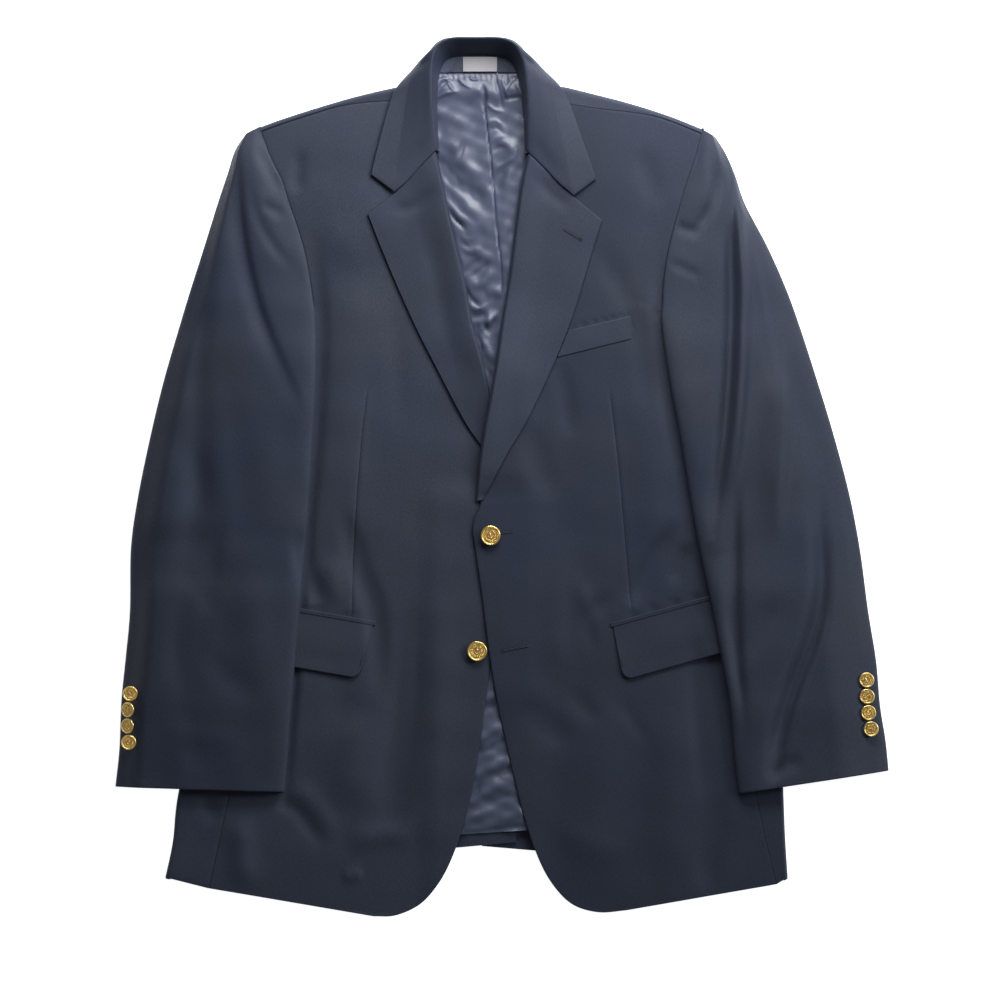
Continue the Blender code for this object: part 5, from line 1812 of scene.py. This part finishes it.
def makeButtonhole(name, start, end, base, eye):
    heightsAt = surfaceUnder(bpy.data.objects[f"{base}_cloth"])
    start, end = np.array(start), np.array(end)
    outline = keyhole(start, end, eye, 0.0)
    path = np.column_stack([outline, heightsAt(outline) + holeCut["cordRise"]])
    cord = threadTube(f"buttonhole_{name}_cord", path, holeCut["thread"], holeCut["stitch"])
    wide = keyhole(start, end, eye, holeCut["thread"] + holeCut["outline"])
    slit = slitCloth(f"buttonhole_{name}_slit", start, end, outline, wide, heightsAt)
    tack = holeCut["tack"]
    bar = np.array([outline[0], (outline[0] + outline[-1]) / 2, outline[-1]])
    bar = through(bar + (bar - bar[1]) * tack["past"], tack["points"])
    bar = np.column_stack([bar, heightsAt(bar) + tack["rise"]])
    bar = threadTube(f"buttonhole_{name}_tack", bar, tack["radius"], tack["stitch"])
    for part in (cord, slit, bar):
        sewOn(part, "worsted")


for side, word in enumerate(words):
    makeBack(side, f"back_{word}")
    makeSide(side, f"side_{word}")
    makeFront(side, f"front_{word}")
    makeLapel(side, f"lapel_{word}")
    makeTopSleeve(side, f"sleeve_top_{word}")
    makeUnderSleeve(side, f"sleeve_under_{word}")
    makeFlap(side, f"flap_{word}")
    print("half made:", word)
makeLining()
makeNeck()
makeCollar()
makeWelt()
print("cloth made")
for name, narrowEnd, eyeEnd, base, eye in holeCut["holes"]:
    makeButtonhole(name, narrowEnd, eyeEnd, base, eye)
makeButtons()
print("buttons and buttonholes made")

stage = {
    "softboxAt": (0.20, 0.86, 0.56),
    "softboxTo": (0.0, 0.12, 0),
    "softboxSize": (0.8, 0.4),
    "softboxPower": 17.2,
    "softboxColour": (1.0, 0.985, 0.96),
    "windowAt": (1.4, 0.6, 0.85),
    "windowStrength": 1.62,
    "windowAngle": 20,
    "windowColour": (0.96, 0.98, 1.0),
    "airColour": (0.95, 0.975, 1.0, 1.0),
    "airStrength": 0.16,
    "floorSize": 8.0,
    "floorDown": 0.0006,
    "paper": (0.92, 0.92, 0.92, 1.0),
    "paperRoughness": 0.9,
    "paperGlow": 0.9,
    "cameraAt": (-0.002, -0.023, 6.0),
    "sensor": 36.0,
    "lens": 216.0,
}


def addLamp(name, kind, place, target, colour, energy):
    bpy.ops.object.light_add(type=kind, location=place)
    lamp = bpy.context.object
    lamp.name = lamp.data.name = name
    lamp.data.energy = energy
    lamp.data.color = colour
    lamp.rotation_euler = (Vector(target) - lamp.location).to_track_quat("-Z", "Y").to_euler()
    return lamp.data


softbox = addLamp(
    "softbox behind the collar",
    "AREA",
    stage["softboxAt"],
    stage["softboxTo"],
    stage["softboxColour"],
    stage["softboxPower"],
)
softbox.shape = "RECTANGLE"
softbox.size, softbox.size_y = stage["softboxSize"]
window = addLamp(
    "window at the right", "SUN", stage["windowAt"], (0, 0, 0), stage["windowColour"], stage["windowStrength"]
)
window.angle = math.radians(stage["windowAngle"])

world = bpy.data.worlds.new("studio")
bpy.context.scene.world = world
world.use_nodes = True
world.node_tree.nodes["Background"].inputs["Color"].default_value = stage["airColour"]
world.node_tree.nodes["Background"].inputs["Strength"].default_value = stage["airStrength"]

bpy.ops.mesh.primitive_plane_add(size=stage["floorSize"], location=(0, 0, -stage["floorDown"]))
floor = bpy.context.object
floor.name = "white sweep"
paperLook = {
    "Base Color": stage["paper"],
    "Roughness": stage["paperRoughness"],
    "Emission Color": (1.0, 1.0, 1.0, 1.0),
    "Emission Strength": stage["paperGlow"],
}
floor.data.materials.append(newMaterial("white paper", paperLook)[0])

bpy.ops.object.camera_add(location=stage["cameraAt"], rotation=(0, 0, 0))
camera = bpy.context.object
camera.data.sensor_width = stage["sensor"]
camera.data.lens = stage["lens"]
bpy.context.scene.camera = camera
bpy.context.scene.view_settings.view_transform = "Standard"
